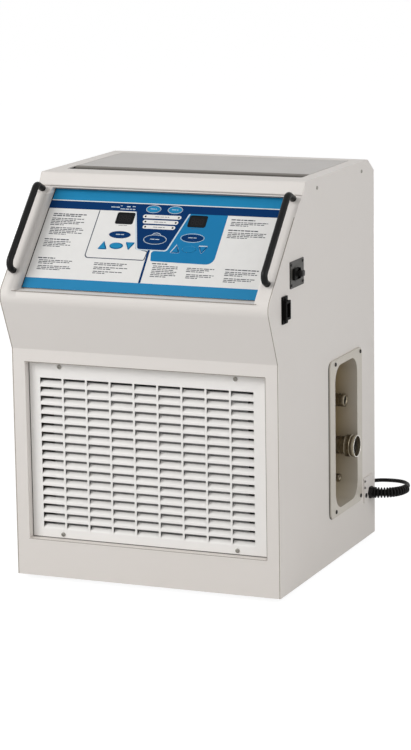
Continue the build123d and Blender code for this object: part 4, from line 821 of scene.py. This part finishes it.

# Painted shade in the console's pocket: a grey strip along the upper wall of the pocket, and thin dark lines at the
# film's other edges and on the ledge below it.
pocket_shade_grey = mottled("pocket_shade_grey", (900, 3), ((0.31, 0.305, 0.3), (0.38, 0.37, 0.365)), (0.8, 0.95),
                    ((900, 3), 0.0003), specular=0.1)
printed("pocket_seal", [box_shape(-200.4, 200.4, 167.7, 168.5)], film_level, 5.0, pocket_shade_grey)
strips("lip_seal", [(-0.2075, 0.2075, 0.6255, 0.6284)], -0.094, 0.0006, pocket_shade_grey, "overlay_film")
ledge_shade_brown = mottled("ledge_shade_brown", (260, 3), ((0.16, 0.13, 0.1), (0.3, 0.26, 0.22)), (0.6, 0.8), specular=0.1)
edge_shade_strips = [box_shape(-203.0, -200.0, -25.0, 168.0), box_shape(200.3, 201.3, -25.0, 168.0),
              box_shape(-201.0, 201.0, -26.6, -25.8)]
printed("film_edge_lines", edge_shade_strips, film_level, 0.06, black_film)
printed("ledge_line", [box_shape(-208.0, 208.0, -43.4, -42.5)], 0.0, 0.15, ledge_shade_brown)

# Grab handles: round steel bars with a thick black coating, one on each side of the console, bent at both ends and
# welded behind the console's side strips.
handle_black = mottled("handle_coating", (45, 5, 0.65), ((0.006, 0.006, 0.006), (0.015, 0.0145, 0.014)),
                       (0.22, 0.4), ((1300, 2), 0.0002), specular=0.12)
bar_radius = 5.4
bar_ends = [(157.3, -1.0), (149.5, 21.5), (-11.0, 21.5), (-4.7, -1.0)]
for side, x in (("left", -216.0), ("right", 216.0)):
    bar_path = [Vector((x, s, h)) for s, h in rounded(bar_ends, [0, 11, 11, 0], 12)]
    bar_rings = []
    for number, spot in enumerate(bar_path):
        before = bar_path[max(number - 1, 0)]
        after = bar_path[min(number + 1, len(bar_path) - 1)]
        way = (after - before).normalized()
        ring = circle_round(spot, bar_radius, Vector((0, -way.z, way.y)), Vector((1, 0, 0)), 40)
        bar_rings.append([console @ point for point in ring])
    fit(skinned(f"grab_bar_{side}", 60, bar_rings), handle_black, "handle_black", f"handle_{side}")

# Switch and connector on the right side: a grey plate with a rocking black toggle, riveted at its corners, and
# below it a black flanged socket for a probe lead.
plate_grey, place = new_finish("switch_plate_grey", specular=0.25)
speck = place.noise(900, 3)
switch_y, switch_z = -0.125, 0.512
plate_y = abs(place.axis("Y") - switch_y)
plate_z = abs(place.axis("Z") - switch_z)
rivet_y, rivet_z = plate_y - 0.0245, plate_z - 0.016
dark_parts = (rivet_y * rivet_y + rivet_z * rivet_z < 0.0026 ** 2) + (plate_y > 0.0282) + (plate_z > 0.0202)
plate_tone = place.noise(80, 4).blend((0.034, 0.032, 0.028), (0.06, 0.056, 0.049))
feed(plate_grey, Base_Color=dark_parts.maths("MINIMUM", dark_parts, 1.0).blend(plate_tone, (0.014, 0.012, 0.011)),
     Roughness=speck.level(0.34, 0.5), bump=(speck, 0.0002))
dress(plate_grey, "breaker_plate")
socket_black = mottled("socket_black", (70, 4), ((0.004, 0.004, 0.004), (0.01, 0.0095, 0.009)), (0.34, 0.5),
                       ((2600, 2), 0.0002), specular=0.02)
dress(socket_black, "probe_connector")
plate_face = 0.23


def side_ring(x, middle, half, corner, steps=10):
    """A rounded rectangle of points on an upright plane that faces sideways."""
    (y, z), (half_y, half_z) = middle, half
    outline = rounded(rectangle(y - half_y, y + half_y, z - half_z, z + half_z), corner, steps)
    return [(x, y, z) for y, z in outline]


lever_rings = [side_ring(x, (switch_y, switch_z), half, 0.0018, 4) for x, half in (
    (0.22, (0.0064, 0.0036)), (0.233, (0.0064, 0.0038)), (0.237, (0.0064, 0.0044)), (0.2398, (0.0064, 0.0047)),
    (0.2408, (0.0058, 0.0042)), (0.2412, (0.0048, 0.0034)))]
fit(skinned("switch_lever", 50, lever_rings), moulded_black, "black_plastic", "breaker_toggle", body="toggle")
switch_opening = (switch_y, (0.0076, 0.0083), 0.002)
for name, material, rings in (
    ("switch_bezel", socket_black, (
        (0.0, (-0.1312, (0.0145, 0.0093), 0.005)), (0.003, (-0.1312, (0.0142, 0.0091), 0.0048)),
        (0.0036, (-0.1312, (0.0137, 0.0087), 0.0044)), (0.0036, switch_opening), (0.0, switch_opening))),
    ("switch_washer", plate_grey, (
        (0.0, (switch_y, (0.0096, 0.0126), 0.002)), (0.0005, (switch_y, (0.0095, 0.0125), 0.002)),
        (0.0005, switch_opening), (0.0, switch_opening))),
):
    rings = [side_ring(plate_face + reach, (y, switch_z), half, corner) for reach, (y, half, corner) in rings]
    fit(skinned(name, 50, rings, ends="joined"), material, "black_plastic")

# Hose recess: a deep moulded tub with a broad flange, screwed over an opening in the right side. Three metal
# fittings stand in its back wall, one above another: the drain, the supply coupling and the return.
tub_plastic, place = new_finish("tub_plastic", specular=0.3)
# Painted shade and light: the tub darkens to brown towards the inside of the recess, and is painted lighter again low
# down inside.
painted_recess_shade = place.axis("X").ramp(0.229, 0.195)
low_down = place.axis("Z").ramp(0.2, 0.09)
mottle = place.noise(40, 5, 0.6)
outer_tone = mottle.blend((0.56, 0.52, 0.455), (0.52, 0.48, 0.415))
brown_tone = mottle.blend((0.405, 0.322, 0.195), (0.345, 0.272, 0.165))
shaded_inner_tone = low_down.blend(brown_tone, (0.5, 0.44, 0.335))
feed(tub_plastic, Base_Color=painted_recess_shade.blend(outer_tone, shaded_inner_tone), Roughness=mottle.level(0.28, 0.46),
     bump=(place.noise(900, 2), 0.0003))
dress(tub_plastic, "fittings_tub")
# Painted shade: a dark foam ring round the flange stands for the shadow in the gap at its edge.
gap_shade_rings = [side_ring(side_face + out, (0.0916, 0.2114), (0.0764 + grow, 0.1304 + grow), 0.012 + grow, 8)
                for grow, out in ((-0.0025, 0.0), (0.0007, 0.0), (0.0007, 0.0009), (-0.0025, 0.0009))]
fit(skinned("tub_gasket", 50, gap_shade_rings, ends="joined"), gap_shade_foam, "tub_plastic")
fitting_y = 0.125
supply_z, return_z, drain_z = 0.1824, 0.2587, 0.1263
nickel, place = new_finish("fitting_nickel", metallic=1.0)
wear = place.noise(260, 5, 0.6)
outward = place.axis("X")
across = place.axis("Y") - fitting_y
up = place.axis("Z")
# Painted shade: the fittings' bores and the coupling's mouth inside its sleeve are painted near black.
painted_bore_shades = []
for height, bore, start in (
    (supply_z, 0.0151, 0.2225), (supply_z, 0.0106, 0.0), (return_z, 0.0074, 0.0), (drain_z, 0.0046, 0.0),
):
    radius_squared = across * across + (up - height) * (up - height)
    painted_bore_shades.append((radius_squared < bore ** 2) * (outward > start))
worn_metal = wear.blend((0.34, 0.295, 0.225), (0.2, 0.17, 0.12))
feed(nickel, Base_Color=(sum(painted_bore_shades) > 0.5).blend(worn_metal, (0.02, 0.017, 0.014)),
     Roughness=wear.level(0.24, 0.42))
bright_nickel = mottled("sleeve_nickel", (260, 5, 0.6), ((0.72, 0.7, 0.66), (0.58, 0.55, 0.5)), (0.14, 0.3),
                        metallic=1.0)
back_wall = 168.5
for name, node, height, radius, bore, tip, nut, nut_depth, grooves in (
    ("supply_fitting", "supply_coupling", supply_z, 14.9, 10.4, 233.5, 17.0, 8.0, (32.0, 26.0, 18.5)),
    ("return_nipple", "return_fitting", return_z, 11.0, 7.2, 218.5, 13.4, 7.0, (21.0, 14.0, 8.0)),
    ("drain_nipple", "drain_fitting", drain_z, 6.9, 4.4, 207.5, 9.9, 6.0, (16.0, 11.0, 6.0)),
):
    profile = [(back_wall - 16, 6.9), (back_wall - 0.5, 6.9), (back_wall - 0.5, radius)]
    for groove in grooves:
        profile += [(tip - groove - step, radius * share) for step, share in (
            (1.3, 1), (1, 0.86), (-1, 0.86), (-1.3, 1))]
    profile += [(tip - 1, radius), (tip, radius * 0.94), (tip, radius * 0.8), (tip - 1.4, radius * 0.76),
                (tip - 1.4, bore + 0.8), (tip - 2.4, bore), (tip - 18, bore), (tip - 18, bore * 0.6),
                (tip - 9, bore * 0.3)]
    nut_face = back_wall + nut_depth
    nut_profile = [(back_wall, nut * 0.9), (nut_face - 1.2, nut * 0.99), (nut_face, nut * 0.88),
                   (nut_face, radius * 0.8)]
    at = Matrix.Translation((0, fitting_y, height))
    fit(skinned(name, 35, turned(profile, at, steps=56), turned(nut_profile, at, steps=6)), nickel,
        "fitting_metal", node)
sleeve_place = Matrix.Translation((0.2375, fitting_y, supply_z))
sleeve_profile = [
    (-18, 15.1), (-18, 17.6), (-17.2, 18.4), (-16.5, 18.4, 0.6), (-9.5, 18.4, 0.6), (-8.8, 18.4), (-8, 17.4),
    (-6.2, 17.4), (-5.5, 18.4), (-1, 18.4), (0, 17.7), (0, 16.8), (-5, 16.4), (-5, 15.1),
]
rim_radius, rim_wire = 17.6, 0.7
rim_profile = [(0.2 + rim_wire * sin(pi * step / 5), rim_radius + rim_wire * cos(pi * step / 5))
               for step in range(10)]
for name, smooth, profile, material, *stands_for in (
    ("sleeve_ring", 35, sleeve_profile, nickel, "coupling_sleeve"), ("sleeve_rim", 60, rim_profile, bright_nickel),
):
    rings = turned(profile, sleeve_place, steps=96)
    fit(skinned(name, smooth, rings, ends="joined"), material, "fitting_metal", *stands_for, body="sleeve")

# Casters: four zinc-plated swivel forks with grey rubber wheels, held by plates under the deck. The skirt hides them
# from most sides.
zinc = mottled("caster_zinc", (60, 5, 0.6), ((0.56, 0.57, 0.57), (0.42, 0.43, 0.44)), (0.3, 0.5), metallic=0.9)
tread = mottled("wheel_rubber", (120, 5, 0.6), ((0.045, 0.045, 0.046), (0.085, 0.082, 0.078)), (0.55, 0.8),
                ((1500, 2), 0.0003), specular=0.35)
corners = ("front_left", "front_right", "rear_left", "rear_right")
dress(zinc, "caster_plates", *[f"caster_fork_{corner}" for corner in corners])
dress(tread, *[f"caster_wheel_{corner}" for corner in corners])

# Inside: finned condenser, fan, compressor, pumps and the two water tanks, on the base pan and the shelf above it.
# They are seen only as dark shapes in the louvres.
# Painted shade: the fins are given a dark grey, for the dark behind the louvres.
fins, place = new_finish("condenser_fins", metallic=0.9)
stripes = place.node("ShaderNodeTexWave", {"bands_direction": "X"},
                     {"Vector": place, "Scale": 260.0, "Distortion": 0.0})
feed(fins, Base_Color=stripes.blend((0.1, 0.1, 0.1), (0.34, 0.34, 0.34)), Roughness=stripes.level(0.4, 0.6))
dress(fins, "condenser_coil")
blade_metal, place = new_finish("fan_blade_metal", metallic=0.9)
feed(blade_metal, Base_Color=place.noise(50, 4).blend((0.4, 0.4, 0.41), (0.52, 0.52, 0.53)),
     Roughness=place.noise(300, 3).level(0.3, 0.45))
dress(blade_metal, "condenser_fan")
enamel = mottled("compressor_enamel", (30, 4), ((0.012, 0.012, 0.013), (0.022, 0.022, 0.023)), (0.25, 0.42),
                 ((500, 2), 0.0003))
dress(enamel, "compressor")
milky = mottled("tank_plastic", (18, 4), ((0.7, 0.71, 0.68), (0.62, 0.63, 0.59)), (0.4, 0.55),
                ((400, 2), 0.0003), specular=0.4)
dress(milky, "water_reservoirs")
cast = mottled("pump_casting", (1300, 4, 0.6), ((0.045, 0.052, 0.062), (0.075, 0.082, 0.095)), (0.5, 0.7),
               ((1300, 4, 0.6), 0.0006), metallic=0.4)
dress(cast, "circulation_pumps")

# Studio: a plain pale floor that keeps a soft shadow, white beyond, and broad soft lamps at a plain level.
floor_mesh = bpy.data.meshes.new("studio_floor")
floor_mesh.from_pydata([(-40, -40, 0), (40, -40, 0), (40, 40, 0), (-40, 40, 0)], [], [(0, 1, 2, 3)])
studio_floor = bpy.data.objects.new("studio_floor", floor_mesh)
scene.collection.objects.link(studio_floor)


def seen_directly(tree):
    """1 on rays from the camera, a reflection or a transmission, so that the white background shows there too."""
    rays = tree.nodes.new("ShaderNodeLightPath").outputs
    kinds = ("Camera", "Glossy", "Transmission")
    seen, mirrored, let_through = (Signal(tree, rays[f"Is {kind} Ray"]) for kind in kinds)
    return seen.maths("MAXIMUM", seen.maths("MAXIMUM", seen, mirrored), let_through)


def mixed(tree, share, usual, direct, output):
    """Show one shader usually and the other, by its share, on direct rays."""
    mix = tree.nodes.new("ShaderNodeMixShader")
    for socket, source in zip(mix.inputs, (share.socket, usual.outputs[0], direct.outputs[0])):
        tree.links.new(source, socket)
    tree.links.new(mix.outputs["Shader"], tree.nodes[output].inputs["Surface"])


floor_finish, _ = new_finish("studio_floor", specular=0.0)
floor_tree = floor_finish.node_tree
floor_shader = floor_tree.nodes["Principled BSDF"]
floor_shader.inputs["Base Color"].default_value = (0.7, 0.7, 0.7, 1)
floor_shader.inputs["Roughness"].default_value = 0.9
glow = floor_tree.nodes.new("ShaderNodeEmission")
glow.inputs["Strength"].default_value = 1.3
mixed(floor_tree, seen_directly(floor_tree) * 0.7, floor_shader, glow, "Material Output")
floor_mesh.materials.append(floor_finish)

world = bpy.data.worlds.new("studio")
scene.world = world
world.use_nodes = True
sky = world.node_tree
plain = sky.nodes["Background"]
beyond = sky.nodes.new("ShaderNodeBackground")
for background, strength in ((plain, 0.42), (beyond, 1.0)):
    background.inputs["Color"].default_value = (1, 1, 1, 1)
    background.inputs["Strength"].default_value = strength
mixed(sky, seen_directly(sky), plain, beyond, "World Output")

for name, place, size, power in (
    ("key_lamp", (-2.3, -2.8, 2.5), 2.2, 108.0),
    ("fill_lamp", (3.2, -0.6, 1.5), 2.4, 38.5),
    ("rear_lamp", (-1.6, 3.6, 0.3), 0.9, 34.0),
):
    lamp = bpy.data.lights.new(name, "AREA")
    lamp.energy = power
    lamp.size = size
    holder = bpy.data.objects.new(name, lamp)
    aim = (Vector((0, 0, 0.35)) - Vector(place)).to_track_quat("-Z", "Y")
    holder.matrix_world = Matrix.Translation(place) @ aim.to_matrix().to_4x4()
    holder.visible_glossy = name != "rear_lamp"
    scene.collection.objects.link(holder)

scene.view_settings.view_transform = "Standard"
